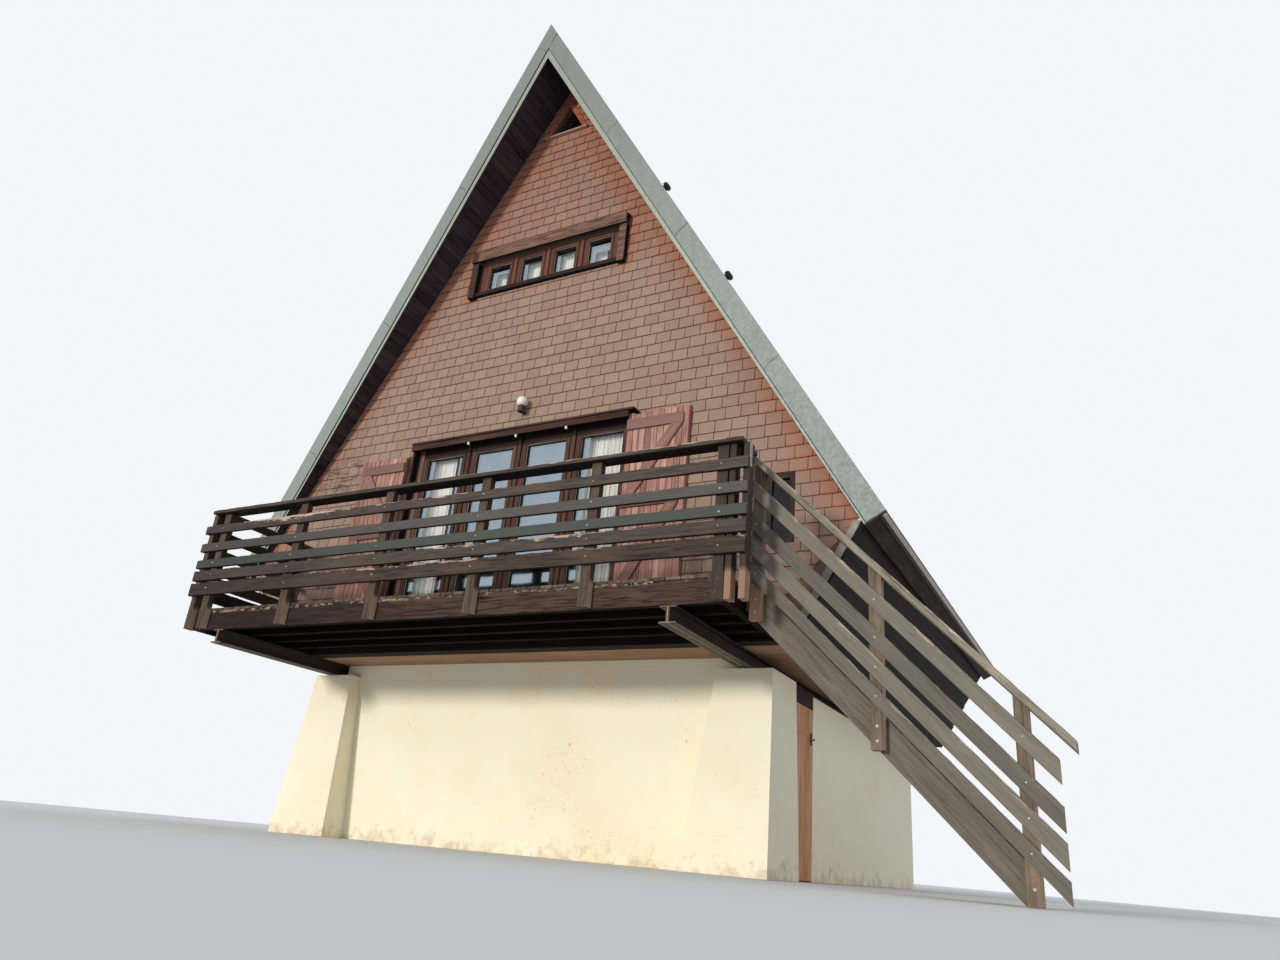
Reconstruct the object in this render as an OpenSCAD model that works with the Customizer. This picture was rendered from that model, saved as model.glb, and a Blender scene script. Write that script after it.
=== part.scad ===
// Steep timber cabin with a shingled gable, a railed deck with a stair, and a rendered basement.
// X runs right along the front, Y runs back from the middle of the house, and Z is up.
// Z = 0 is the level floor that it stands on. The modules take Y from the front wall's face.

/* [House] */
// height of the deck top over the floor it stands on
deck_z = 1920; // [1800:10:2200]
// distance from the front wall's face to the back wall's face
house_len = 5850; // [5200:50:7200]
// slope of the roof in degrees
pitch = 60; // [58.5:0.5:61.5]
// height of the roof's outer ridge line over the deck top
apex_h = 7060; // [6900:10:7300]
// height of the eave's outer corner over the deck top
eave_h = 757; // [600:10:900]
// thickness of the roof, square to its slope
roof_t = 190; // [160:5:220]
// how far the roof runs out past the walls at the ridge
verge_top = 580; // [450:10:700]
// how far the roof runs out past the walls at the eaves
verge_low = 40; // [30:5:120]
// thickness of the two gable walls
wall_t = 150; // [120:5:200]
// thickness of the slanted walls below the eaves
skirt_t = 100; // [80:5:120]
// thickness of the main floor
floor_t = 190; // [170:5:220]
// height of the loft floor's top over the deck top
loft_h = 2500; // [2400:10:2560]

/* [Openings] */
// height of the tall window's opening over the deck top
tall_h = 2000; // [1950:10:2060]
// distance from the middle of one leaf of the tall window to the next
tall_pitch = 640; // [625:5:650]
// width of each pane of the tall window
tall_pane = 470; // [440:5:490]
// distance from the middle of one pane of the loft window to the next
loft_pitch = 440; // [425:5:450]
// width of each pane of the loft window
loft_pane = 280; // [260:5:300]
// height of the loft window's lower edge over the deck top
loft_sill = 3885; // [3850:5:3920]
// height of the loft window's opening
loft_win_h = 400; // [380:5:420]
// width of one wooden shutter leaf
shutter_w = 635; // [600:5:650]
// half width of the triangular vent at its sill
vent_half = 230; // [200:5:260]

/* [Deck] */
// depth of the deck in front of the front wall
deck_d = 1100; // [1000:10:1300]
// distance from the middle to the deck's left end
deck_left = 2715; // [2650:5:2760]
// distance from the middle to the deck's right end
deck_right = 2800; // [2760:10:2860]
// height of the hand rail's top over the deck top
rail_h = 985; // [940:5:1100]
// height of the two steel beams
beam_h = 122; // [110:2:150]

/* [Stair] */
// going of each step
step_run = 188; // [178:1:200]
// number of rises from the floor to the deck
rises = 10; // [9:1:11]

/* [Basement] */
// thickness of the basement walls
base_t = 200; // [150:10:240]
// how far the basement front stands behind the front wall's face
base_y = 550; // [520:10:600]
// width of each buttress at its top
pier_w = 500; // [460:5:520]
// depth of each buttress at its top
pier_d = 590; // [540:10:620]
// width of the basement door's opening
door_w = 700; // [640:5:740]
// angle that the basement door is drawn open at
door_angle = 0; // [0:5:95]

/* [Hidden] */
// roof and slanted walls
run_k = cos(pitch) / sin(pitch);
apex_z = deck_z + apex_h;
eave_z = deck_z + eave_h;
eave_x = (apex_z - eave_z) * run_k;
slope_len = (apex_z - eave_z) / sin(pitch);
// gap left wherever slanted faces meet, so that they never bite into each other
seat = 0.5;
in_apex_z = apex_z - (roof_t + seat) / cos(pitch);
corner_drop = 37;
corner_z = eave_z - corner_drop;
corner_x = (in_apex_z - corner_z) * run_k;
room_z = deck_z - 20;
floor_lo = room_z - floor_t;
foot_x = corner_x - (corner_z - floor_lo) * run_k;
// the same in whole millimetres, for the square pieces under the floor
foot_mm = floor(foot_x);
skirt_in = skirt_t / sin(pitch);
front_y = -house_len / 2;
back_y = house_len / 2;
loft_z = deck_z + loft_h;
loft_t = 160;

// metal strips that close the roof's ends, and the strip at its eaves
band_proud = 10;
band_h = 170;
band_t = 25;
lip_top = 70;
lip_low = 22;
lip_t = 14;
ridge_side = 120;
ridge_t = 9;
eave_strip_h = 60;
eave_strip_t = 12;
corner_strip_w = 35;
corner_strip_t = 12;
vent_pipe_r = 55;
vent_pipe_h = 75;
vent_neck_r = 38;
vent_top_r = 33;
// where the cap's rim starts and ends, and its top, as shares of the pipe's height
vent_cap = [0.35, 0.8, 1.05];
vent_pipe_y = 700;
vent_pipe_at = [0.269, 0.503];

// windows: frame depth, glass, and how far their boxed heads stand out
frame_y = 5;
frame_t = 60;
glass_y = 28;
glass_t = 14;
tall_rail = 110;
tall_head = 140;
tall_stile = 60;
tall_half = 1.5 * tall_pitch + tall_pane / 2 + tall_stile;
tall_box_half = tall_half + 95;
tall_box_d = 110;
tall_band_h = 62;
box_board = 28;
cornice_t = 20;
cornice_out = 15;
loft_frame = 45;
loft_stile = 130;
loft_half = 1.5 * loft_pitch + loft_pane / 2 + loft_stile;
loft_box_half = loft_half + 82;
loft_box_d = 100;
loft_side_drop = 65;
small_x = 2640;
small_w = 250;
small_z = 590;
small_h = 620;
small_frame = 45;
back_sill = 1000;
back_win_h = 1000;
back_frame = 70;
vent_rise = 5950;
vent_z = deck_z + vent_rise;
vent_board = 60;
vent_board_t = 18;

// shutters: two leaves folded back on each other at each side of the tall window
plank_t = 28;
ledge_t = 22;
ledge_h = 105;
ledge_in = 50;
ledge_top = 185;
ledge_low = 110;
brace_w = 125;
shutter_lo = 60;
shutter_t = 2 * plank_t + ledge_t;
shutter_right_x = tall_half + 8;
shutter_left_x = tall_half + 198;
shutter_right_drop = 6;
shutter_left_drop = 80;

// lamps: a globe on an arm over the tall window, and three small ones under its head
globe_r = 58;
globe_z = 320;
lamp_out = 75;
lamp_base_r = 36;
lamp_base_h = 55;
lamp_arm = 30;
bulb_r = 13;
bulb_h = 26;
bulb_gap = 595;

// deck and rails
board_t = 28;
joist_w = 60;
fascia_t = 60;
post_w = 85;
post_t = 60;
post_foot = 205;
post_inset_left = 150;
post_inset_right = 55;
side_post_w = 45;
side_post_d = 90;
wall_post_gap = 40;
rail_t = 30;
rail_end_left = post_t + rail_t;
rail_end_right = 150;
cap_w = 140;
cap_t = 38;
cap_out = 15;
cap_end_left = 35;
cap_end_right = 107;
cap_return = 160;
posts = 6;
post_gap = (deck_left + deck_right - post_inset_left - post_inset_right) / (posts - 1);
post_y = -deck_d - post_t;
rail_y = post_y - rail_t;
cap_z = rail_h - cap_t;
rail_boards_z = [[741, 829], [555, 641], [385, 470], [258, 361], [110, 236]];

// steel beams, each of two channels back to back
beam_in = 549;
beam_x = foot_mm - beam_in;
beam_w = 136;
beam_gap = 16;
beam_web = 7;
beam_flange = 10;
beam_lo = floor_lo - beam_h;
beam_short = 10;
base_back = house_len - 60;

// basement
side_in = 384;
side_x = foot_mm - side_in;
pier_proud = 70;
pier_out = side_x + pier_proud;
pier_fore = 140;
pier_y = base_y - pier_fore;
pier_top = beam_lo;
batter_front = 147;
batter_in = 190;
batter_out = 50;
slab_t = 80;
door_y = pier_y + pier_d;
lintel_h = 115;
door_top = beam_lo - lintel_h;
door_t = 35;
door_gap = 6;
hinge_out = 12;
hinge_x = side_x + hinge_out;
hinge_y = door_y + 2 * door_gap;
pin_r = 5;
eye_r = 9;
eye_play = 0.5;
strap_t = 5;
strap_h = 40;
strap_len = 480;
hinge_z = [220, door_top - 260];

// stair: its pitch line meets the deck top at stair_x0 and the floor stair_run further right
rise = deck_z / rises;
stair_k = rise / step_run;
stair_run = rises * step_run;
stair_start = 36;
stair_x0 = deck_right + stair_start;
stair_in = 360;
stair_back = 100;
stair_y0 = -deck_d + stair_in;
stair_w = deck_d - stair_in - stair_back;
stair_cut = 190;
stair_stop = stair_x0 + stair_run - stair_cut;
side_beam_t = 45;
side_beam_d = 205;
side_beam_over = 40;
tread_t = 30;
tread_fore = 20;
stair_cap_d = [950, 1017];
stair_boards_d = [[678, 818], [423, 566], [230, 377], [59, 182]];
stair_post_top = deck_right + 45;
stair_post_x = [stair_post_top, (stair_post_top + stair_stop) / 2, stair_stop];
stair_board_x = deck_right + 20;
stair_board_end = stair_stop + 227;
stair_cap_x = deck_right + 68;
stair_cap_end = stair_board_end + 97;
stair_cap_over = 30;

module block(x0, x1, y0, y1, z0, z1) {
  translate([x0, front_y + y0, z0]) cube([x1 - x0, y1 - y0, z1 - z0]);
}

// a shape drawn in X and Z, run from y0 back to y1
module along_y(y0, y1) {
  translate([0, front_y + y1, 0]) rotate([90, 0, 0]) linear_extrude(y1 - y0) children();
}

// a shape drawn in Y and Z, run from x0 right to x1
module along_x(x0, x1) {
  translate([x0, front_y, 0]) rotate([90, 0, 90]) linear_extrude(x1 - x0) children();
}

// the right slope's own axes: X down the slope from the ridge, Z square out of it
module slope_frame() {
  translate([0, front_y, apex_z]) rotate([0, pitch, 0]) children();
}

// a shape drawn in slope length and Y, from depth d0 under the roof's surface down to d1
module on_slope(d0, d1) {
  slope_frame() translate([0, 0, -d1]) linear_extrude(d1 - d0) children();
}

module right_half() {
  intersection() {
    children();
    block(0, 2 * eave_x, -2 * verge_top, house_len + 2 * verge_top, 0, 2 * apex_z);
  }
}

module left_side() {
  mirror([1, 0, 0]) children();
}

module back_side() {
  mirror([0, 1, 0]) children();
}

module half_roof() {
  right_half() on_slope(0, roof_t)
    polygon([[0, -verge_top], [slope_len, -verge_low],
      [slope_len, house_len + verge_low], [0, house_len + verge_top]]);
}

module roof_right() {
  color([0.33, 0.31, 0.29]) half_roof();
}

module roof_left() {
  color([0.33, 0.31, 0.29]) left_side() half_roof();
}

module ridge_cap() {
  low = ridge_side / run_k;
  color([0.50, 0.53, 0.50]) along_y(-verge_top + 20, house_len + verge_top - 20)
    translate([0, apex_z + seat]) polygon([[0, ridge_t], [ridge_side, ridge_t - low], [ridge_side, -low],
      [0, 0], [-ridge_side, -low], [-ridge_side, ridge_t - low]]);
}

// a strip along the front end of the slope, t thick
module end_strip(t) {
  over = 2 * band_proud;
  top = verge_top + over * (verge_top - verge_low) / slope_len;
  polygon([[-over, -top - t], [slope_len, -verge_low - t], [slope_len, -verge_low], [-over, -top]]);
}

// the raked metal band, with a lip under it that narrows towards the eave
module half_band() {
  right_half() {
    on_slope(-band_proud, band_h) end_strip(band_t);
    intersection() {
      on_slope(band_h, band_h + lip_top) end_strip(lip_t);
      slope_frame() rotate([90, 0, 0]) linear_extrude(2 * verge_top)
        polygon([[0, -band_h], [slope_len, -band_h],
          [slope_len, -band_h - lip_low], [0, -band_h - lip_top]]);
    }
  }
}

module front_band_right() {
  color([0.55, 0.59, 0.55]) half_band();
}

module front_band_left() {
  color([0.55, 0.59, 0.55]) left_side() half_band();
}

module back_band_right() {
  color([0.55, 0.59, 0.55]) back_side() half_band();
}

module back_band_left() {
  color([0.55, 0.59, 0.55]) back_side() left_side() half_band();
}

// the light metal strip along the end of the roof, square to the slope
module half_eave_strip() {
  slope_frame() translate([slope_len, -verge_low, -eave_strip_h])
    cube([eave_strip_t, house_len + 2 * verge_low, eave_strip_h]);
}

module eave_strips() {
  color([0.60, 0.62, 0.58]) {
    half_eave_strip();
    left_side() half_eave_strip();
  }
}

// two short capped pipes on the right slope
module roof_vents() {
  color([0.10, 0.11, 0.13]) for (s = vent_pipe_at) slope_frame() translate([s * slope_len, vent_pipe_y, 0]) {
    cylinder(r = vent_neck_r, h = vent_pipe_h, $fn = 32);
    translate([0, 0, vent_pipe_h * vent_cap[0]])
      cylinder(r = vent_pipe_r, h = vent_pipe_h * (vent_cap[1] - vent_cap[0]), $fn = 32);
    translate([0, 0, vent_pipe_h * vent_cap[1]])
      cylinder(r1 = vent_pipe_r, r2 = vent_top_r, h = vent_pipe_h * (vent_cap[2] - vent_cap[1]), $fn = 32);
  }
}

// the slanted wall that runs back in from the eave to the floor
module half_skirt() {
  up = skirt_in / 2 / run_k;
  along_y(wall_t, house_len - wall_t)
    polygon([[corner_x, corner_z], [foot_x, floor_lo], [foot_x - skirt_in, floor_lo],
      [corner_x - skirt_in / 2, corner_z + up]]);
}

module skirt_right() {
  color([0.16, 0.13, 0.13]) half_skirt();
}

module skirt_left() {
  color([0.16, 0.13, 0.13]) left_side() half_skirt();
}

// the gable's outline inside the roof and the slanted walls
module gable_shape() {
  polygon([[0, in_apex_z], [corner_x, corner_z], [foot_x, floor_lo],
    [-foot_x, floor_lo], [-corner_x, corner_z]]);
}

// a triangle with its base on the vent's sill
module vent_shape(half) {
  polygon([[-half, vent_z], [half, vent_z], [0, vent_z + half / run_k]]);
}

module wall_hole(x0, x1, z0, h, y0) {
  block(x0, x1, y0 - 50, y0 + wall_t + 50, deck_z + z0, deck_z + z0 + h);
}

module gable_wall(y0) {
  difference() {
    along_y(y0, y0 + wall_t) gable_shape();
    wall_hole(-loft_half, loft_half, loft_sill, loft_win_h, y0);
    along_y(y0 - 50, y0 + wall_t + 50) vent_shape(vent_half);
    children();
  }
}

module front_wall() {
  color([0.60, 0.50, 0.43]) gable_wall(0) {
    wall_hole(-tall_half, tall_half, 0, tall_h, 0);
    wall_hole(small_x, small_x + small_w, small_z, small_h, 0);
  }
}

module back_wall() {
  y0 = house_len - wall_t;
  color([0.60, 0.50, 0.43]) gable_wall(y0) wall_hole(-loft_half, loft_half, back_sill, back_win_h, y0);
}

// the light strip down each slanted edge of a gable
module half_corner_strip() {
  up = corner_strip_w / run_k;
  along_y(-corner_strip_t, 0)
    polygon([[corner_x, corner_z], [foot_x, floor_lo], [foot_x - corner_strip_w, floor_lo],
      [corner_x - corner_strip_w, corner_z], [corner_x - corner_strip_w / 2, corner_z + up / 2]]);
}

module corner_strips() {
  color([0.62, 0.63, 0.58]) {
    half_corner_strip();
    left_side() half_corner_strip();
    back_side() half_corner_strip();
    back_side() left_side() half_corner_strip();
  }
}

module main_floor() {
  low = foot_x - skirt_in - seat;
  high = low + floor_t * run_k;
  color([0.72, 0.66, 0.55]) along_y(wall_t, house_len - wall_t)
    polygon([[-low, floor_lo], [low, floor_lo], [high, room_z], [-high, room_z]]);
}

module loft_floor() {
  low = (in_apex_z - loft_z + loft_t) * run_k;
  high = (in_apex_z - loft_z) * run_k;
  color([0.55, 0.42, 0.28]) along_y(wall_t, house_len - wall_t)
    polygon([[-low, loft_z - loft_t], [low, loft_z - loft_t], [high, loft_z], [-high, loft_z]]);
}

// four panes in a row, wide and gap apart, from z0 up to z1
module four_panes(wide, gap, y0, y1, z0, z1) {
  for (i = [-1.5 : 1 : 1.5])
    block(i * gap - wide / 2, i * gap + wide / 2, y0, y1, z0, z1);
}

// a frame that fills an opening, with its four panes cut out
module window_row(half, z0, h, wide, gap, bottom, top, y0) {
  difference() {
    block(-half, half, y0, y0 + frame_t, z0, z0 + h);
    four_panes(wide, gap, y0 - 10, y0 + frame_t + 10, z0 + bottom, z0 + h - top);
  }
}

module tall_window_frame() {
  color([0.33, 0.21, 0.17])
    window_row(tall_half, deck_z, tall_h, tall_pane, tall_pitch, tall_rail, tall_head, frame_y);
}

module loft_window_frame() {
  color([0.33, 0.21, 0.17])
    window_row(loft_half, deck_z + loft_sill, loft_win_h, loft_pane, loft_pitch, loft_frame, loft_frame, frame_y);
}

module small_window_frame() {
  z0 = deck_z + small_z;
  color([0.20, 0.16, 0.15]) difference() {
    block(small_x, small_x + small_w, frame_y, frame_y + frame_t, z0, z0 + small_h);
    block(small_x + small_frame, small_x + small_w - small_frame, frame_y - 10, frame_y + frame_t + 10,
      z0 + small_frame, z0 + small_h - small_frame);
  }
}

module front_window_glass() {
  low = deck_z + loft_sill;
  y1 = glass_y + glass_t;
  color([0.62, 0.70, 0.76, 0.4]) {
    four_panes(tall_pane, tall_pitch, glass_y, y1, deck_z + tall_rail, deck_z + tall_h - tall_head);
    four_panes(loft_pane, loft_pitch, glass_y, y1, low + loft_frame, low + loft_win_h - loft_frame);
    block(small_x + small_frame, small_x + small_w - small_frame, glass_y, y1,
      deck_z + small_z + small_frame, deck_z + small_z + small_h - small_frame);
  }
}

module back_window_frames() {
  y0 = house_len - frame_y - frame_t;
  color([0.33, 0.21, 0.17]) {
    window_row(loft_half, deck_z + loft_sill, loft_win_h, loft_pane, loft_pitch, loft_frame, loft_frame, y0);
    window_row(loft_half, deck_z + back_sill, back_win_h, loft_pane, loft_pitch, back_frame, back_frame, y0);
  }
}

module back_window_glass() {
  y0 = house_len - glass_y - glass_t;
  y1 = house_len - glass_y;
  low = deck_z + loft_sill;
  color([0.62, 0.70, 0.76, 0.4]) {
    four_panes(loft_pane, loft_pitch, y0, y1, low + loft_frame, low + loft_win_h - loft_frame);
    four_panes(loft_pane, loft_pitch, y0, y1,
      deck_z + back_sill + back_frame, deck_z + back_sill + back_win_h - back_frame);
  }
}

// the tall window's boxed head: a thin cornice over a front band, and its left side board
module tall_window_box() {
  top = deck_z + tall_h;
  front = -tall_box_d;
  color([0.28, 0.18, 0.15]) {
    block(-tall_box_half, tall_box_half, front - cornice_out, 0, top, top + cornice_t);
    block(-tall_box_half, tall_half + box_board, front, front + box_board, top - tall_band_h, top);
    block(-tall_box_half, -tall_box_half + box_board, front + box_board, 0, deck_z, top);
  }
}

// the loft window's box: a head with a sloping lid, two side boards and a sill board
module loft_window_box() {
  low = deck_z + loft_sill;
  top = low + loft_win_h;
  front = -loft_box_d;
  color([0.36, 0.26, 0.21]) {
    along_x(-loft_box_half, loft_box_half)
      polygon([[front, top], [front + box_board, top], [front + box_board, top + 100], [0, top + 130],
        [0, top + 130 + box_board], [front, top + 100 + box_board]]);
    for (x = [-loft_box_half, loft_half])
      block(x, x + loft_box_half - loft_half, front + box_board, 0, low - loft_side_drop, top);
    block(-loft_half, loft_half, -loft_box_d / 2, 0, low - 45, low);
  }
}

module gable_vent_trim() {
  full = vent_half + vent_board;
  color([0.62, 0.36, 0.24]) {
    difference() {
      along_y(-vent_board_t, 0) vent_shape(full);
      along_y(-vent_board_t - 10, 10) vent_shape(vent_half);
    }
    block(-full, full, -40, 0, vent_z - 22, vent_z);
  }
}

// thin hangings behind the outer panes of the tall window and behind the loft window
module curtains() {
  y0 = frame_y + frame_t;
  y1 = y0 + 12;
  low = deck_z + loft_sill;
  outer = 1.5 * tall_pitch;
  color([0.90, 0.90, 0.86]) {
    for (x = [-outer, outer])
      block(x - tall_pane / 2, x + tall_pane / 2, y0, y1, deck_z + 60, deck_z + tall_h - tall_head + 30);
    four_panes(loft_pane, loft_pitch, y0, y1, low + 20, low + loft_win_h - loft_frame + 20);
  }
}

// a leaf of planks with three ledges and two braces, its left edge at x = 0 and its back at y = 0
module leaf(w, h) {
  front = -plank_t - ledge_t;
  ledges = [ledge_low, h / 2, h - ledge_top];
  right = w - ledge_in;
  block(0, w, -plank_t, 0, 0, h);
  for (z = ledges) block(0, right, front, -plank_t, z, z + ledge_h);
  for (i = [0, 1]) along_y(front, -plank_t)
    polygon([[0, ledges[i] + ledge_h], [brace_w, ledges[i] + ledge_h],
      [right, ledges[i + 1]], [right - brace_w, ledges[i + 1]]]);
}

module shutter(h) {
  translate([0, -plank_t, deck_z + shutter_lo]) leaf(shutter_w, h);
  block(0, shutter_w, -plank_t, 0, deck_z + shutter_lo, deck_z + shutter_lo + h);
}

module shutter_right() {
  color([0.52, 0.33, 0.27]) translate([shutter_right_x, 0, 0])
    shutter(tall_h - shutter_lo - shutter_right_drop);
}

module shutter_left() {
  color([0.52, 0.33, 0.27]) left_side() translate([shutter_left_x, 0, 0])
    shutter(tall_h - shutter_lo - shutter_left_drop);
}

// the globe's lower edge, where it stands in its base
function lamp_z() = deck_z + tall_h + globe_z - globe_r;

// the globe's base and the arm that carries it off the wall
module wall_lamp() {
  z0 = lamp_z() - lamp_base_h;
  color([0.40, 0.24, 0.18]) {
    difference() {
      translate([0, front_y - lamp_out, z0]) cylinder(r = lamp_base_r, h = lamp_base_h + globe_r / 4, $fn = 32);
      translate([0, front_y - lamp_out, lamp_z() + globe_r]) sphere(r = globe_r + seat, $fn = 48);
    }
    difference() {
      block(-lamp_arm / 2, lamp_arm / 2, -lamp_out, 0, z0, z0 + lamp_arm);
      translate([0, front_y - lamp_out, z0 - 1]) cylinder(r = lamp_base_r, h = lamp_arm + 2, $fn = 32);
    }
  }
}

module lamp_globes() {
  color([0.90, 0.89, 0.85]) {
    translate([0, front_y - lamp_out, lamp_z() + globe_r]) sphere(r = globe_r, $fn = 48);
    for (i = [-1 : 1]) translate([i * bulb_gap, front_y - tall_box_d + box_board / 2,
      deck_z + tall_h - tall_band_h - bulb_h]) cylinder(r = bulb_r, h = bulb_h, $fn = 24);
  }
}

// the buttress: battered at its front, its inner side and its outer side
module half_pier() {
  intersection() {
    along_y(0, door_y)
      polygon([[pier_out - pier_w - batter_in, 0], [pier_out + batter_out, 0],
        [pier_out, pier_top], [pier_out - pier_w, pier_top]]);
    along_x(0, pier_out + batter_out)
      polygon([[pier_y - batter_front, 0], [door_y, 0], [door_y, pier_top], [pier_y, pier_top]]);
  }
}

module pier_right() {
  color([0.93, 0.88, 0.76]) half_pier();
}

module pier_left() {
  color([0.93, 0.88, 0.76]) left_side() half_pier();
}

module both_piers() {
  half_pier();
  left_side() half_pier();
}

// the spaces that the steel beams take up
module beam_spaces() {
  for (x = [-beam_x, beam_x])
    block(x - beam_w / 2, x + beam_w / 2, -deck_d, house_len, beam_lo, floor_lo);
}

// a wall between the two side walls
module cross_wall(y0) {
  difference() {
    block(-side_x + base_t, side_x - base_t, y0, y0 + base_t, 0, floor_lo);
    both_piers();
    beam_spaces();
  }
}

module basement_front_wall() {
  color([0.93, 0.88, 0.76]) cross_wall(base_y);
}

module basement_back_wall() {
  color([0.93, 0.88, 0.76]) cross_wall(base_back - base_t);
}

module basement_left_wall() {
  color([0.93, 0.88, 0.76]) block(-side_x, -side_x + base_t, door_y, base_back, 0, beam_lo);
}

module basement_right_wall() {
  color([0.93, 0.88, 0.76]) block(side_x - base_t, side_x, door_y + door_w, base_back, 0, beam_lo);
}

module basement_lintel() {
  color([0.20, 0.16, 0.15]) block(side_x - base_t, side_x, door_y, door_y + door_w, door_top, beam_lo);
}

module basement_floor() {
  color([0.55, 0.53, 0.50]) difference() {
    block(-side_x + base_t, side_x - base_t, base_y + base_t, base_back - base_t, 0, slab_t);
    both_piers();
  }
}

// turns the door and its ironwork about the hinge pins
module at_hinge() {
  translate([hinge_x, front_y + hinge_y, 0]) rotate([0, 0, -door_angle]) children();
}

module basement_door() {
  color([0.55, 0.36, 0.24]) at_hinge() translate([-hinge_out - door_t, -door_gap, 8])
    cube([door_t, door_w - 2 * door_gap, door_top - 16]);
}

// two straps with eyes round the pins, and the latch
module door_ironwork() {
  color([0.15, 0.14, 0.14]) at_hinge() {
    for (z = hinge_z) translate([0, 0, z]) difference() {
      union() {
        cylinder(r = eye_r, h = strap_h, $fn = 32);
        translate([-hinge_out, 0, 0]) cube([strap_t, strap_len, strap_h]);
        translate([-hinge_out, 0, 0]) cube([hinge_out, eye_r, strap_h]);
      }
      translate([0, 0, -1]) cylinder(r = pin_r + eye_play, h = strap_h + 2, $fn = 32);
    }
    translate([-hinge_out, door_w - 90, door_top - 330]) {
      cube([6, 40, 110]);
      translate([6, 12, 40]) cube([30, 16, 16]);
      translate([26, -60, 40]) cube([10, 88, 16]);
    }
  }
}

// the fixed pins that the door hangs on, each on an arm out of the buttress
module door_pintles() {
  arm_h = 12;
  color([0.15, 0.14, 0.14]) for (z = hinge_z) translate([hinge_x, front_y + hinge_y, z - eye_play - arm_h]) {
    translate([-pin_r, -2 * door_gap, 0]) cube([2 * pin_r, 2 * door_gap, arm_h]);
    cylinder(r = pin_r, h = arm_h + eye_play + strap_h, $fn = 32);
  }
}

// one channel with its web at x, and its flanges out to the side that s gives
module channel(x, s) {
  wide = (beam_w - beam_gap) / 2;
  translate([x, 0, 0]) mirror([s < 0 ? 1 : 0, 0, 0]) along_y(-deck_d + beam_short, base_back)
    polygon([[0, beam_lo], [wide, beam_lo], [wide, beam_lo + beam_flange],
      [beam_web, beam_lo + beam_flange], [beam_web, floor_lo - beam_flange],
      [wide, floor_lo - beam_flange], [wide, floor_lo], [0, floor_lo]]);
}

module beam_pair(x) {
  channel(x + beam_gap / 2, 1);
  channel(x - beam_gap / 2, -1);
}

module beam_right() {
  color([0.28, 0.19, 0.16]) beam_pair(beam_x);
}

module beam_left() {
  color([0.28, 0.19, 0.16]) beam_pair(-beam_x);
}

module deck_frame() {
  top = deck_z - board_t;
  bay = (deck_d - fascia_t) / 4;
  color([0.22, 0.17, 0.15]) {
    block(-deck_left, deck_right, -deck_d, -deck_d + fascia_t, floor_lo, top);
    for (i = [1 : 3])
      block(-deck_left + fascia_t, deck_right - fascia_t, -deck_d + i * bay, -deck_d + i * bay + joist_w,
        floor_lo, top);
    for (x = [-deck_left, deck_right - fascia_t])
      block(x, x + fascia_t, -deck_d + fascia_t, 0, floor_lo, top);
  }
}

module deck_boards() {
  color([0.30, 0.28, 0.24]) block(-deck_left, deck_right, -deck_d, 0, deck_z - board_t, deck_z);
}

// six posts on the deck's front beam, two planks at the right corner, a corner and a wall post at the left
module rail_posts() {
  z0 = deck_z - post_foot;
  z1 = deck_z + cap_z;
  color([0.34, 0.30, 0.25]) {
    for (i = [0 : posts - 1]) {
      x = -deck_left + post_inset_left + i * post_gap;
      block(x - post_w / 2, x + post_w / 2, post_y, -deck_d, z0, z1);
    }
    for (x = [deck_right, deck_right + rail_end_right - side_post_w])
      block(x, x + side_post_w, post_y, post_y + side_post_d, z0, z1);
    for (y = [post_y, -wall_post_gap - side_post_d])
      block(-deck_left - post_t, -deck_left, y, y + side_post_d, z0, z1);
  }
}

module rail_boards() {
  color([0.30, 0.28, 0.24]) for (z = rail_boards_z)
    block(-deck_left - rail_end_left, deck_right + rail_end_right, rail_y, post_y, deck_z + z[0], deck_z + z[1]);
}

module left_rail_boards() {
  x = -deck_left - post_t;
  color([0.30, 0.28, 0.24]) for (z = rail_boards_z)
    block(x - rail_t, x, post_y, 0, deck_z + z[0], deck_z + z[1]);
}

module rail_cap() {
  z0 = deck_z + cap_z;
  z1 = deck_z + rail_h;
  front = rail_y - cap_out;
  color([0.32, 0.30, 0.26]) {
    block(-deck_left - cap_end_left, deck_right + cap_end_right, front, front + cap_w, z0, z1);
    block(-deck_left - cap_end_left, -deck_left - cap_end_left + cap_w, front + cap_w, 0, z0, z1);
    block(deck_right + cap_end_right - cap_w, deck_right + cap_end_right,
      front + cap_w, front + cap_w + cap_return, z0, z1);
  }
}

// height of a line at x that runs d over the stair's pitch line
function stair_z(x, d) = deck_z - (x - stair_x0) * stair_k + d;

// a straight bar that follows the stair from x = a to x = b, between two heights over the pitch line
module slant(a, b, low, high, y0, y1) {
  along_y(y0, y1) polygon([[a, stair_z(a, low)], [b, stair_z(b, low)],
    [b, stair_z(b, high)], [a, stair_z(a, high)]]);
}

module stair_sides() {
  color([0.47, 0.45, 0.38]) for (y = [stair_y0, stair_y0 + stair_w - side_beam_t])
    intersection() {
      slant(deck_right - post_w, stair_stop + post_w, -side_beam_d, side_beam_over, y, y + side_beam_t);
      block(deck_right, stair_stop, y, y + side_beam_t, 0, deck_z);
    }
}

module stair_treads() {
  color([0.44, 0.42, 0.36]) for (i = [1 : rises - 1]) {
    x = stair_x0 + i * step_run + tread_fore;
    block(x - step_run, x, stair_y0 + side_beam_t, stair_y0 + stair_w - side_beam_t,
      deck_z - i * rise - tread_t, deck_z - i * rise);
  }
}

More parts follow.
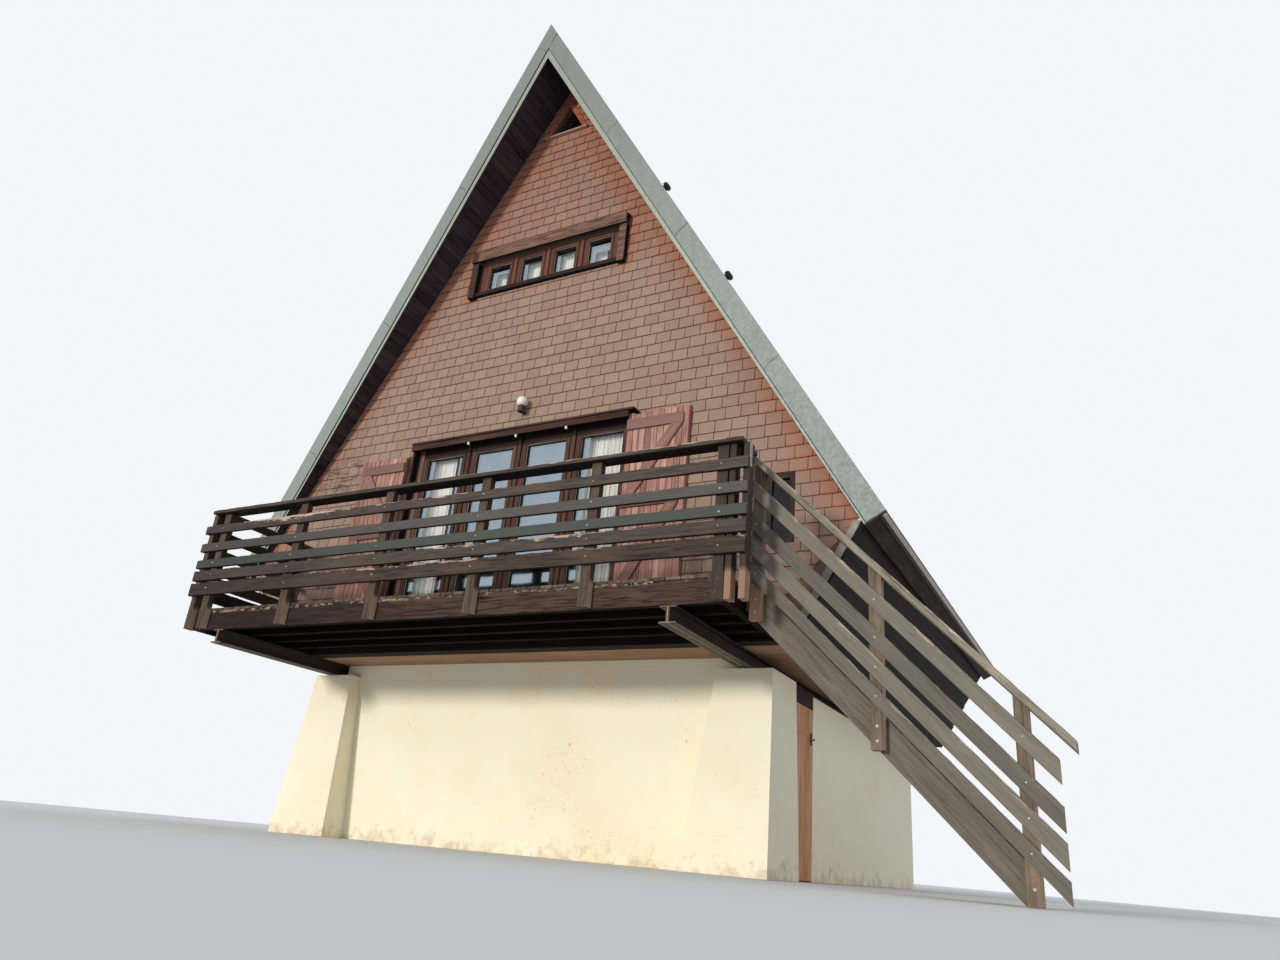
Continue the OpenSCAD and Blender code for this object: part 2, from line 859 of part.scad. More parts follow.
// one post outside the stair, cut to the hand rail's slope at its top
module stair_post(x, foot) {
  along_y(stair_y0 - post_t, stair_y0)
    polygon([[x, foot], [x + post_w, foot], [x + post_w, stair_z(x + post_w, stair_cap_d[0] - seat)],
      [x, stair_z(x, stair_cap_d[0] - seat)]]);
}

module stair_posts() {
  color([0.47, 0.42, 0.35]) for (x = stair_post_x)
    stair_post(x, max(0, stair_z(x + post_w / 2, -side_beam_d)));
}

module stair_rail_boards() {
  y1 = stair_y0 - post_t;
  color([0.47, 0.45, 0.38]) for (d = stair_boards_d) intersection() {
    slant(stair_board_x, stair_board_end, d[0], d[1], y1 - rail_t, y1);
    block(stair_board_x, stair_board_end, y1 - rail_t, y1, 0, deck_z + rail_h);
  }
}

module stair_cap() {
  y0 = stair_y0 - post_t - rail_t - cap_out - stair_cap_over;
  color([0.50, 0.47, 0.41])
    slant(stair_cap_x, stair_cap_end, stair_cap_d[0], stair_cap_d[1], y0, y0 + cap_w);
}

roof_left();
roof_right();
ridge_cap();
front_band_left();
front_band_right();
back_band_left();
back_band_right();
eave_strips();
roof_vents();
skirt_left();
skirt_right();
front_wall();
back_wall();
corner_strips();
main_floor();
loft_floor();
tall_window_frame();
tall_window_box();
loft_window_frame();
loft_window_box();
small_window_frame();
front_window_glass();
gable_vent_trim();
back_window_frames();
back_window_glass();
curtains();
shutter_left();
shutter_right();
wall_lamp();
lamp_globes();
basement_front_wall();
basement_left_wall();
basement_right_wall();
basement_back_wall();
basement_floor();
pier_left();
pier_right();
basement_lintel();
basement_door();
door_ironwork();
door_pintles();
beam_left();
beam_right();
deck_frame();
deck_boards();
rail_posts();
rail_boards();
left_rail_boards();
rail_cap();
stair_sides();
stair_treads();
stair_posts();
stair_rail_boards();
stair_cap();
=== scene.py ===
import itertools
import math
import random

import bmesh
import bpy
from mathutils import Matrix, Vector


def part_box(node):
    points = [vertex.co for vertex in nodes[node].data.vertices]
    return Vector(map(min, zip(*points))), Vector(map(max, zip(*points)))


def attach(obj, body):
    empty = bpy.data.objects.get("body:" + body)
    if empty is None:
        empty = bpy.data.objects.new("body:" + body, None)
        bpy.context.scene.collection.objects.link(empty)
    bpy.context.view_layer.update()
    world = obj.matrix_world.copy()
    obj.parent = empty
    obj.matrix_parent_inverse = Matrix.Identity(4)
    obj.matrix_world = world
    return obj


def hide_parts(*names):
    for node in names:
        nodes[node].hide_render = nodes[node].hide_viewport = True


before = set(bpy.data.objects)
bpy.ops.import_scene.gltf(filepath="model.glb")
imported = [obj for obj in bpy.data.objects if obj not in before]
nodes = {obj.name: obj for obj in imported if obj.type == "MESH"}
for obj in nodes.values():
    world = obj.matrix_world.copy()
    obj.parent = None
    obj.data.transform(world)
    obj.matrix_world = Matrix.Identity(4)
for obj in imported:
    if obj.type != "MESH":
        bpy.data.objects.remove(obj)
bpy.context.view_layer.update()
rng = random.Random(7)

# sizes of the source, in metres
FRONT, BACK = -2.925, 2.925
WALLS = {-1: FRONT, 1: BACK}
DECK = 1.92
PITCH = math.radians(60)
RUN = 1 / math.tan(PITCH)
APEX, EAVE = 8.98, 2.677
ROOF_T = 0.19
SLOPE = (APEX - EAVE) / math.sin(PITCH)
IN_APEX = APEX - 2 * (ROOF_T + 0.0005)
CORNER_Z = 2.64
CORNER_X = (IN_APEX - CORNER_Z) * RUN
FLOOR_LO = 1.71
FOOT_X = CORNER_X - (CORNER_Z - FLOOR_LO) * RUN
VERGE_TOP, VERGE_LOW, BAND_T = 0.58, 0.04, 0.025
VENT_Z = 7.87
TALL, TALL_H = 1.255, 2.0
LOFT, LOFT_LO, LOFT_HI = 0.93, 5.805, 6.205
BACK_LO, BACK_HI = 2.92, 3.92
DECK_L, DECK_R, DECK_D = -2.715, 2.8, 1.1
POSTS = [DECK_L + 0.15 + i * (DECK_R - DECK_L - 0.205) / 5 for i in range(6)]
RISE, GOING = 0.192, 0.188
STEEP = RISE / GOING

# painted shade: the colours of what lies in the dark below the deck
SHADE_UNDER_DECK, IN_SHADE = (17, 14, 13), (24, 19, 17)


def link(name, data):
    o = bpy.data.objects.new(name, data)
    bpy.context.scene.collection.objects.link(o)
    return o


def lin(*rgb):
    """A colour written as 0 to 255 in the usual display scale, as linear light."""
    return tuple(((c / 255 + 0.055) / 1.055) ** 2.4 if c > 10 else c / 255 / 12.92 for c in rgb) + (1.0,)


class Mat:
    """A Principled material with short calls for the nodes that feed it. Its colours are written 0 to 255."""

    def __init__(self, name, rough=0.7, metallic=0.0, specular=0.4):
        self.m = bpy.data.materials.new(name)
        self.m.use_nodes = True
        self.t = self.m.node_tree
        self.p = self.t.nodes["Principled BSDF"]
        self.fill(self.p, {"Roughness": rough, "Metallic": metallic, "Specular IOR Level": specular})

    def fill(self, node, inputs):
        """Each input is a value or another node's socket."""
        for key, value in inputs.items():
            socket = node.inputs[key]
            if isinstance(value, bpy.types.NodeSocket):
                self.t.links.new(value, socket)
            else:
                socket.default_value = lin(*value) if socket.type == "RGBA" else value

    def node(self, kind, inputs=None, **settings):
        n = self.t.nodes.new(kind)
        for key, value in settings.items():
            setattr(n, key, value)
        self.fill(n, inputs or {})
        return n

    def coords(self):
        return self.node("ShaderNodeTexCoord").outputs["Object"]

    def facing(self, axis):
        """How much a face looks along an axis."""
        return self.split(self.node("ShaderNodeNewGeometry").outputs["Normal"], axis)

    def attr(self, name, out="Fac"):
        return self.node("ShaderNodeAttribute", attribute_name=name).outputs[out]

    def scaled(self, vector, scale, rotation=(0, 0, 0)):
        inputs = {"Vector": vector, "Scale": scale, "Rotation": rotation}
        return self.node("ShaderNodeMapping", inputs).outputs[0]

    def noise(self, vector, scale, detail=4.0, rough=0.55, bent=0.0):
        inputs = {"Vector": vector, "Scale": scale, "Detail": detail, "Roughness": rough, "Distortion": bent}
        return self.node("ShaderNodeTexNoise", inputs).outputs["Fac"]

    def map(self, value, a, b, c=0.0, d=1.0):
        inputs = {"Value": value, "From Min": a, "From Max": b, "To Min": c, "To Max": d}
        return self.node("ShaderNodeMapRange", inputs, interpolation_type="SMOOTHSTEP").outputs["Result"]

    def math(self, op, a, b=0.0):
        return self.node("ShaderNodeMath", {0: a, 1: b}, operation=op).outputs[0]

    def times(self, a, b):
        return self.math("MULTIPLY", a, b)

    def plus(self, a, b):
        return self.math("ADD", a, b)

    def size(self, a):
        return self.math("ABSOLUTE", a)

    def mix(self, a, b, share):
        return self.node("ShaderNodeMix", {"Factor": share, 6: a, 7: b}, data_type="RGBA").outputs[2]

    def over(self, color, paint, value, a, b, much=1.0):
        """paint over a colour, from none of it where value is a to much where it is b."""
        return self.mix(color, paint, self.map(value, a, b, 0, much))

    def split(self, vector, axis):
        return self.node("ShaderNodeSeparateXYZ", {0: vector}).outputs[axis]

    def shade(self, color, value):
        """color times a number."""
        return self.node("ShaderNodeVectorMath", {0: color, "Scale": value}, operation="SCALE").outputs[0]

    def bump(self, height, strength, distance):
        bent = self.node("ShaderNodeBump", {"Strength": strength, "Distance": distance, "Height": height})
        self.fill(self.p, {"Normal": bent.outputs[0]})

    def done(self, color, **more):
        self.fill(self.p, {"Base Color": color, **more})
        return self.m


# wood: the noise's scale along and across the grain, for the grain itself and for broad patches
GRAIN, BROAD = (1.6, 26), (0.9, 5)
WOOD_ROUGH = 0.75


def wood(name, main, dark, worn, along=None, wear=0.5, peel=None, alt=None, side=None, under=None, turn=0.0,
         shade=None, extra=None, gloss=0.15):
    """Weathered or painted timber. along is the grain's axis on a solid, None where the mesh has its own.

    side is painted light: the colour of faces below the deck that look right. under is painted shade:
    that of faces that look down. peel is that of wood bare of paint and alt that of boards by their hue.
    shade is painted shade, (x light, x dark, how much), and extra(m, colour) adds what one piece alone needs."""
    m = Mat(name, rough=WOOD_ROUGH, specular=gloss)
    base = m.attr("loc", "Vector") if along is None else m.coords()
    tight, loose = (tuple(s[0] if a == (along or "X") else s[1] for a in "XYZ") for s in (GRAIN, BROAD))
    if turn:
        base = m.scaled(base, (1, 1, 1), (0, turn, 0))
    grain = m.noise(m.scaled(base, tight), 2.4, 8, 0.62, 0.6)
    broad = m.noise(m.scaled(base, loose), 1.7, 4, 0.6)
    color = m.over(main, dark, grain, 0.38, 0.68)
    color = m.mix(color, worn, m.times(m.map(broad, 0.46, 0.72), wear))
    if alt is not None:
        color = m.mix(color, alt, m.attr("hue"))
    if shade is not None:
        color = m.over(color, dark, m.split(m.coords(), 0), *shade)
    # painted light: faces below the deck that look right are lighter
    if side is not None:
        below = m.map(m.split(base, 2), DECK + 0.02, DECK - 0.04)
        color = m.mix(color, side, m.times(m.map(m.facing(0), 0.5, 0.9, 0, 0.8), below))
    # painted shade on faces that look down
    if under is not None:
        color = m.over(color, under, m.facing(2), -0.4, -0.8, 0.9)
    if extra is not None:
        color = extra(m, color)
    if peel is not None:
        ragged = m.noise(m.scaled(base, (1.5, 9, 9)), 5, 6, 0.65)
        patch = m.noise(m.scaled(base, (1, 0.3, 0.3)), 1.3, 3, 0.5)
        edge = m.plus(m.attr("up"), m.times(ragged, 1.5))
        edge = m.plus(m.plus(edge, m.times(patch, 1.0)), m.times(m.attr("red"), 0.42))
        color = m.over(color, peel, edge, 2.50, 2.56, 0.85)
    if along is None:
        color = m.shade(color, m.map(m.attr("tint"), 0, 1, 0.78, 1.2))
    fine = m.noise(m.scaled(base, tuple(2.2 * s for s in tight)), 4, 5, 0.6)
    m.bump(m.plus(grain, m.times(fine, 0.5)), 0.45, 0.0025)
    return m.done(color, Roughness=m.map(fine, 0.2, 0.8, WOOD_ROUGH - 0.12, WOOD_ROUGH + 0.12))


def behind(y, colour):
    """Painted shade on what lies further back than y."""
    return lambda m, color: m.over(color, colour, m.split(m.coords(), 1), y, y + 0.015, 0.92)


def window_tones(m, color):
    """The upper windows' redder stain, and the dark band under the head of the tall one."""
    z = m.split(m.coords(), 2)
    color = m.over(color, (104, 66, 54), z, 5.0, 5.2, 0.7)
    band = m.times(m.map(z, 3.775, 3.80), m.map(z, 4.2, 4.1))
    return m.mix(color, (26, 20, 19), m.times(band, 0.85))


def pale_sill(m, color):
    """The vent's bottom trim has weathered to grey."""
    return m.over(color, (170, 142, 130), m.split(m.coords(), 2), VENT_Z + 0.006, VENT_Z - 0.004, 0.85)


def eave_edge(m, color):
    """Only the outer half of the eaves' sheet keeps its colour, and the rest gets painted shade as dark as
    the boards beside it.
    """
    obj = m.coords()
    out = m.times(m.size(m.split(obj, 0)), math.sin(PITCH))
    out = m.plus(out, m.times(m.split(obj, 2), math.cos(PITCH)))
    surface = APEX * math.cos(PITCH)
    return m.over((34, 29, 28), color, out, surface - 0.036, surface - 0.032)


def black_catch(m, color):
    """The door's straps are stained with it, and its catch is black."""
    return m.over(color, (46, 42, 42), m.split(m.coords(), 1), FRONT + 1.6, FRONT + 1.62)


def sunlit_feet(m, color):
    """Painted light: the side planks and the stair's first post are lighter and warmer under the deck, where
    the sun catches them.
    """
    obj = m.coords()
    feet = m.times(m.map(m.split(obj, 2), DECK + 0.03, DECK - 0.03), m.map(m.split(obj, 0), 2.79, 2.8))
    feet = m.times(feet, m.map(m.split(obj, 0), 3.1, 3.0, 0, 0.75))
    return m.mix(color, (164, 130, 108), feet)


def fascia_edge(m, color):
    """Flaked paint along the top of the deck's front board, and painted shade on the joists behind it."""
    obj = m.coords()
    color = behind(FRONT - DECK_D, SHADE_UNDER_DECK)(m, color)
    flakes = m.plus(m.noise(m.scaled(obj, (1, 1, 1.6)), 19, 6, 0.75), m.times(m.noise(obj, 2.1, 2), 0.35))
    top = m.map(m.split(obj, 2), DECK - 0.060, DECK - 0.034)
    return m.mix(color, (172, 148, 128), m.times(m.times(m.map(flakes, 0.68, 0.74), top), 0.8))


# where a dark stain spreads on the front, along and up
STAIN_X, STAIN_Z = -2.4, 3.72


def shingle(name, grey, red, dark):
    m = Mat(name, rough=0.85, specular=0.2)
    obj = m.coords()
    x, y, z = (m.split(obj, axis) for axis in range(3))
    up = m.attr("up")
    fibre = m.noise(m.scaled(m.attr("loc", "Vector"), (22, 3, 8)), 4, 6, 0.6)
    broad = m.noise(obj, 1.3, 4, 0.6)
    spots = m.noise(obj, 24, 5, 0.7)
    much = m.map(m.plus(m.attr("red"), m.times(broad, 0.5)), 0.3, 1.25, 0, 1)
    color = m.mix(grey, red, m.times(much, m.map(up, 0.3, 0.02, 0.45, 1)))
    color = m.shade(color, m.map(m.attr("tint"), 0, 1, 0.93, 1.06))
    color = m.over(color, dark, spots, 0.55, 0.8, 0.3)
    stain = m.times(m.map(m.size(m.plus(x, -STAIN_X)), 0.42, 0.15),
                    m.map(m.size(m.math("SUBTRACT", z, STAIN_Z)), 0.3, 0.1))
    stain = m.times(stain, m.map(m.noise(m.scaled(obj, (2, 1, 9)), 3, 5, 0.7), 0.45, 0.62, 0, 0.75))
    stain = m.times(stain, m.map(y, FRONT + 0.5, FRONT + 0.4))
    color = m.mix(color, (70, 58, 44), stain)
    color = m.over(color, dark, fibre, 0.5, 0.85, 0.3)
    color = m.over(color, dark, up, 0.07, 0.0, 0.6)
    color = m.over(color, dark, z, 4.6, 7.4, 0.14)
    # painted shade on the shingles below the deck
    color = m.over(color, IN_SHADE, z, DECK - 0.03, DECK - 0.05)
    m.bump(m.plus(fibre, m.times(spots, 0.7)), 0.35, 0.002)
    return m.done(color, Roughness=m.map(spots, 0.2, 0.8, 0.75, 0.95))


def metal(name, base, dirt, rough=0.45, metallic=0.35, rust=None, high=1.0, extra=None):
    """Painted or bare sheet and steel. high is how light its colour is at the peak, against the eave."""
    m = Mat(name, rough=rough, metallic=metallic, specular=0.5)
    obj = m.coords()
    streak = m.noise(m.scaled(obj, (3, 3, 0.6)), 3, 6, 0.65)
    spots = m.noise(obj, 26, 6, 0.7)
    wavy = m.noise(obj, 1.6, 2, 0.5)
    color = m.over(base, dirt, streak, 0.42, 0.75, 0.35)
    color = m.over(color, dirt, spots, 0.62, 0.85, 0.175)
    if rust is not None:
        color = m.over(color, rust, m.noise(obj, 9, 8, 0.7), 0.56, 0.68, 0.8)
    if extra is not None:
        color = extra(m, color)
    color = m.shade(color, m.map(m.split(obj, 2), 4.5, 8.2, 1, high))
    m.bump(m.plus(wavy, m.times(spots, 0.02)), 0.1, 0.006)
    return m.done(color, Roughness=m.map(spots, 0.3, 0.7, rough - 0.08, rough + 0.15))


def plaster(name, base, warm, dirt):
    """Trowelled render with splashed feet, pits, hair cracks and drips."""
    m = Mat(name, rough=0.9, specular=0.15)
    obj = m.coords()
    height = m.split(obj, 2)
    broad = m.noise(obj, 1.1, 5, 0.6)
    fine = m.noise(obj, 60, 6, 0.7)
    trowel = m.noise(m.scaled(obj, (1, 1, 2.2)), 6, 4, 0.55)
    color = m.over(base, warm, broad, 0.4, 0.7)
    color = m.over(color, dirt, trowel, 0.6, 0.85, 0.12)
    splash = m.plus(height, m.times(m.noise(obj, 7, 8, 0.75), -1.1))
    color = m.over(color, dirt, splash, -0.42, -0.66, 0.5)
    pits = m.plus(m.noise(obj, 34, 3, 0.6), m.times(m.noise(obj, 2.3, 3), 0.5))
    color = m.over(color, dirt, pits, 0.98, 1.03, 0.55)
    cracks = m.size(m.math("SUBTRACT", m.noise(m.scaled(obj, (0.7, 0.7, 1.3)), 1.9, 5, 0.62), 0.5))
    cracks = m.times(m.map(cracks, 0.0028, 0.0008), m.map(broad, 0.5, 0.62, 0, 0.4))
    color = m.mix(color, dirt, cracks)
    drips = m.noise(m.scaled(obj, (9, 9, 0.5)), 2, 4, 0.6)
    color = m.mix(color, dirt, m.times(m.map(drips, 0.6, 0.8, 0, 0.22), m.map(height, 0.9, 1.6)))
    m.bump(m.plus(trowel, m.times(fine, 0.35)), 0.5, 0.006)
    return m.done(color, Roughness=m.map(fine, 0.3, 0.7, 0.85, 0.97))


wall_shingles = shingle("shingles", (154, 130, 115), (168, 90, 60), (92, 62, 52))
roof_shingles = shingle("roof_shingles", (96, 88, 80), (104, 84, 70), (60, 54, 50))
verge_sheet = metal("verge_sheet", (134, 143, 139), (114, 122, 114), 0.55, 0.1, high=0.76)


def any_place():
    """A random place in the noise, so that no two boards look alike."""
    return Vector([rng.uniform(0, 40) for _ in range(3)])


def tube(steps, sides):
    """The faces between rings of points that follow each other."""
    quads = []
    for r, i in itertools.product(range(steps), range(sides)):
        here, there, j = r * sides, (r + 1) * sides, (i + 1) % sides
        quads.append([here + i, here + j, there + j, there + i])
    return quads


class Build:
    """Collects faces, with a few values at each corner, and makes one mesh object of them."""

    def __init__(self):
        self.v, self.f, self.loc = [], [], []
        self.tint, self.hue, self.red, self.up = [], [], [], []

    def add(self, points, faces, locs=None, tint=0.5, hue=0.0, ups=None, reds=None):
        n, count = len(self.v), len(points)
        self.v += [tuple(p) for p in points]
        self.f += [tuple(n + i for i in f) for f in faces]
        self.loc += [tuple(q) for q in locs or points]
        self.tint += [tint] * count
        self.hue += [hue] * count
        self.up += ups or [0.5] * count
        self.red += reds or [0.0] * count

    def box(self, lo, hi, chamfer=0.003, axis=0, hue=0.0):
        """A board between two corners, its edges taken off, with its grain along an axis."""
        lo, hi = Vector(lo), Vector(hi)
        up = 0 if axis == 2 else 2
        order = [axis, up, 3 - axis - up]
        units = Matrix.Identity(3)
        self.beam((lo + hi) / 2, [units[i] for i in order], [hi[i] - lo[i] for i in order], chamfer, hue)

    def beam(self, centre, axes, size, chamfer, hue=0.0):
        """A chamfered block: axes are along, up and across, and size is its length, height and thickness."""
        half = [s / 2 for s in size]
        chamfer = min(chamfer, min(half) * 0.45)
        tint, place = rng.random(), any_place()
        corners = list(itertools.product((-1, 1), repeat=3))
        pts, locs, ups, index = [], [], [], {}
        for signs in corners:
            for k in range(3):
                q = [signs[j] * (half[j] - chamfer * (j != k)) for j in range(3)]
                index[signs + (k,)] = len(pts)
                pts.append(Vector(centre) + sum((axes[j] * q[j] for j in range(3)), Vector()))
                locs.append(Vector(q) + place)
                ups.append(q[1] / size[1] + 0.5)

        def at(k, w, u, v, face):
            """The point on a face at the corner w along axis k, and u and v along the other two."""
            key = [u, v]
            key.insert(k, w)
            return index[tuple(key) + (face,)]

        faces = []
        for k in range(3):
            a, b = [j for j in range(3) if j != k]
            for w in (-1, 1):
                faces.append([at(k, w, u, v, k) for u, v in ((-1, -1), (1, -1), (1, 1), (-1, 1))])
            for u, v in itertools.product((-1, 1), repeat=2):
                faces.append([at(k, w, u, v, face) for w, face in ((-1, a), (1, a), (1, b), (-1, b))])
        faces += [[index[signs + (k,)] for k in range(3)] for signs in corners]
        self.add(pts, faces, locs, tint, hue, ups)

    def bar(self, p0, p1, up, height, thick, step, wear=0.004, chamfer=0.003, hue=0.0, cuts=None):
        """A long board from p0 to p1 with an uneven, worn outline. cuts is the normal of both its ends."""
        p0, p1 = Vector(p0), Vector(p1)
        length = (p1 - p0).length
        d = (p1 - p0).normalized()
        across = d.cross(Vector(up)).normalized()
        up = across.cross(d).normalized()
        n = max(1, round(length / step))
        tint, place = rng.random(), any_place()
        pts, locs, ups = [], [], []
        a, b = height / 2, thick / 2
        for i in range(n + 1):
            s = length * i / n
            top = chamfer + (rng.random() ** 2) * wear * 1.6
            low = chamfer + rng.random() * wear * 0.5
            sag = rng.uniform(-wear, 0) * 0.7
            section = [(-a + low, -b), (-a, -b + low), (-a, b - low), (-a + low, b),
                       (a - top + sag, b), (a + sag, b - top), (a + sag, -b + top), (a - top + sag, -b)]
            for u, t in section:
                q = p0 + d * s + up * u + across * t
                if cuts and i in (0, n):
                    normal = Vector(cuts)
                    q = q - d * ((q - (p0 if i == 0 else p1)).dot(normal) / d.dot(normal))
                pts.append(q)
                locs.append((s + place[0], u + place[1], t + place[2]))
                ups.append((u + a) / height)
        ends = [list(range(8))[::-1], [8 * n + k for k in range(8)]]
        self.add(pts, ends + tube(n, 8), locs, tint, hue, ups)

    def bolt(self, at, r, h, normal=(0, -1, 0)):
        at, n, sides = Vector(at), Vector(normal), 10
        u = n.orthogonal().normalized()
        w = n.cross(u)
        pts = []
        for radius, lift in ((r * 1.25, 0), (r * 1.25, h * 0.25), (r, h * 0.35), (r * 0.72, h * 0.9)):
            for i in range(sides):
                a = 2 * math.pi * i / sides
                pts.append(at + n * lift + (u * math.cos(a) + w * math.sin(a)) * radius)
        top = len(pts)
        pts.append(at + n * h)
        cap = [[3 * sides + i, 3 * sides + (i + 1) % sides, top] for i in range(sides)]
        self.add(pts, [list(range(sides))[::-1]] + tube(3, sides) + cap)

    def prism(self, ring, tint=0.5, reds=None, locs=None, ups=None):
        """A closed prism: ring is a list of (point, other side's point)."""
        n = len(ring)
        near, far = [a for a, _ in ring], [b for _, b in ring]
        faces = [list(range(n)), list(range(2 * n - 1, n - 1, -1))]
        faces += [[i, n + i, n + (i + 1) % n, (i + 1) % n] for i in range(n)]
        ups, reds = (ups or [0.5] * n), (reds or [0.0] * n)
        self.add(near + far, faces, (locs or near) * 2, tint, 0.0, ups * 2, reds * 2)

    def peel(self, first, least, more, x0, x1):
        """How much paint is off the points from first on: least, and more between two places in x."""
        for i in range(first, len(self.v)):
            x = self.v[i][0]
            self.red[i] = least + more * max(0.0, min(1.0, (x - x0) / 0.3, (x1 - x) / 0.3))

    def make(self, name, material, body="house", slot=None, replaces=(), smooth=False):
        mesh = bpy.data.meshes.new(name)
        mesh.from_pydata(self.v, [], self.f)
        for key in ("tint", "hue", "red", "up"):
            mesh.attributes.new(key, "FLOAT", "POINT").data.foreach_set("value", getattr(self, key))
        flat = [c for q in self.loc for c in q]
        mesh.attributes.new("loc", "FLOAT_VECTOR", "POINT").data.foreach_set("vector", flat)
        b = bmesh.new()
        b.from_mesh(mesh)
        bmesh.ops.recalc_face_normals(b, faces=b.faces)
        b.to_mesh(mesh)
        b.free()
        mesh.materials.append(material)
        for p in mesh.polygons:
            p.use_smooth = smooth
        o = link(name, mesh)
        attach(o, body)
        if replaces:
            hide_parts(*replaces)
        return o


def clip(poly, a, b, c):
    """The part of a convex polygon where a u + b v <= c."""
    out = []
    for i, (u, v) in enumerate(poly):
        s, t = poly[i - 1]
        here, before = a * u + b * v - c, a * s + b * t - c
        if here * before < 0:
            k = before / (before - here)
            out.append((s + (u - s) * k, t + (v - t) * k))
        if here <= 0:
            out.append((u, v))
    return out


def area(poly):
    return abs(sum(p[0] * q[1] - q[0] * p[1] for p, q in zip(poly, poly[1:] + poly[:1]))) / 2


def planes(ring):
    """The edges of a convex polygon, given anticlockwise, as half planes."""
    found = []
    for (u, v), (s, t) in zip(ring, ring[1:] + ring[:1]):
        a, b = t - v, u - s
        found.append((a, b, a * u + b * v))
    return found


def rect(u0, u1, v0, v1):
    return [(u0, v0), (u1, v0), (u1, v1), (u0, v1)]


def without(polys, ring):
    """What a hole leaves of some convex polygons, as more of them."""
    out = []
    for poly in polys:
        rest = poly
        for a, b, c in planes(ring):
            part = clip(rest, -a, -b, -c)
            if len(part) > 2 and area(part) > 2e-5:
                out.append(part)
            rest = clip(rest, a, b, c)
            if len(rest) < 3:
                break
    return out


# shingles: a course's height, a shingle's width, how far its foot and head stand out, and the gap beside it
WALL_SHINGLES = (0.118, 0.158, 0.011, 0.003, 0.007)
ROOF_SHINGLES = (0.16, 0.25, 0.008, 0.002, 0.003)


def cover(build, outline, holes, sizes, place, redness, start):
    """Courses of shingles over a convex outline, less its holes. place(u, v, depth) gives a point."""
    course, width, low, high, gap = sizes
    edges = planes(outline)
    (u0, u1), (v0, v1) = ((min(values), max(values)) for values in zip(*outline))
    row, v = 0, v0 - start
    while v < v1:
        u = u0 - width * (0.5 if row % 2 else 1.0) + rng.uniform(-0.015, 0.015)
        while u < u1:
            w = width + rng.uniform(-0.008, 0.008)
            drop = rng.uniform(-0.0025, 0.0025)
            poly = rect(u + gap / 2, u + w - gap / 2, v + drop, v + course - 0.001)
            for a, b, c in edges:
                poly = clip(poly, a, b, c)
                if len(poly) < 3:
                    break
            parts = [poly] if len(poly) > 2 and area(poly) > 1e-4 else []
            for ring in holes:
                parts = without(parts, ring)
            tint = rng.random()
            lift = rng.uniform(-0.001, 0.0015)
            own = rng.uniform(-0.06, 0.08) + (0.16 if rng.random() < 0.06 else 0.0)
            for part in parts:
                ring, locs, ups, reds = [], [], [], []
                for p, q in part:
                    share = (q - v) / course
                    depth = low + (high - low) * share + lift
                    ring.append((place(p, q, depth), place(p, q, -0.002)))
                    locs.append((p, q + row * 3.7, u))
                    ups.append(share)
                    reds.append(redness(p, q) + own)
                build.prism(ring, tint, reds, locs, ups)
            u += w
        v += course
        row += 1


# gables: shingles with the openings, boxes and shutters left out
CORNER_STRIP = 0.037


def front_redness(x, z):
    """The shingles are redder near the verge, beside the loft window and towards the peak."""
    edge = (IN_APEX - z) * RUN - abs(x) if z > CORNER_Z else FOOT_X + (z - FLOOR_LO) * RUN - abs(x)
    near = 0.8 * max(0.0, 1 - edge / 0.5) ** 1.6
    level = max(0.0, min(1.0, 4 * (z - 5.55), 4 * (6.5 - z)))
    beside = 0.85 * max(0.0, 1 - abs(abs(x) - 1.03) / 0.14) * level
    top = 0.5 * max(0.0, min(1.0, (z - 5.0) / 2.4))
    return min(1.1, near + beside + top + 0.06)


def gable():
    right = [(FOOT_X - CORNER_STRIP, FLOOR_LO), (CORNER_X - CORNER_STRIP, CORNER_Z),
             (CORNER_X - 0.004, CORNER_Z + CORNER_STRIP * 0.9)]
    left = [(-x, z) for x, z in right]
    return left[:1] + right + [(0, IN_APEX - 0.008)] + left[:0:-1]


def vent_ring(half):
    return [(-half, VENT_Z), (half, VENT_Z), (0, VENT_Z + half / RUN)]


# tall window and its head, two shutters, the loft window's box and its feet, small window, vent and its trim
front_holes = [
    rect(-1.352, 1.352, DECK - 0.1, DECK + TALL_H + 0.022),
    rect(1.35, 1.901, DECK, DECK + 1.997),
    rect(-2.091, -1.35, DECK, DECK + 1.923),
    rect(-1.014, 1.014, 5.758, 6.365),
    rect(-1.014, -0.928, 5.738, 5.76),
    rect(0.928, 1.014, 5.738, 5.76),
    rect(2.637, 2.893, 2.507, 3.133),
    vent_ring(0.292),
    rect(-0.292, 0.292, 7.846, 7.871),
]
back_holes = [rect(-LOFT, LOFT, LOFT_LO, LOFT_HI), rect(-LOFT, LOFT, BACK_LO, BACK_HI), vent_ring(0.232)]
over_deck = clip(gable(), 0, -1, -DECK - 0.004)
for name, end, outline, holes, start in (("front", -1, over_deck, front_holes, 0.09),
                                         ("back", 1, gable(), back_holes, 0.04)):
    b = Build()
    cover(b, outline, holes, WALL_SHINGLES, lambda u, v, d: Vector((-end * u, WALLS[end] + end * d, v)),
          front_redness, start)
    b.make(f"{name}_shingles", wall_shingles, slot="shingled_wall")


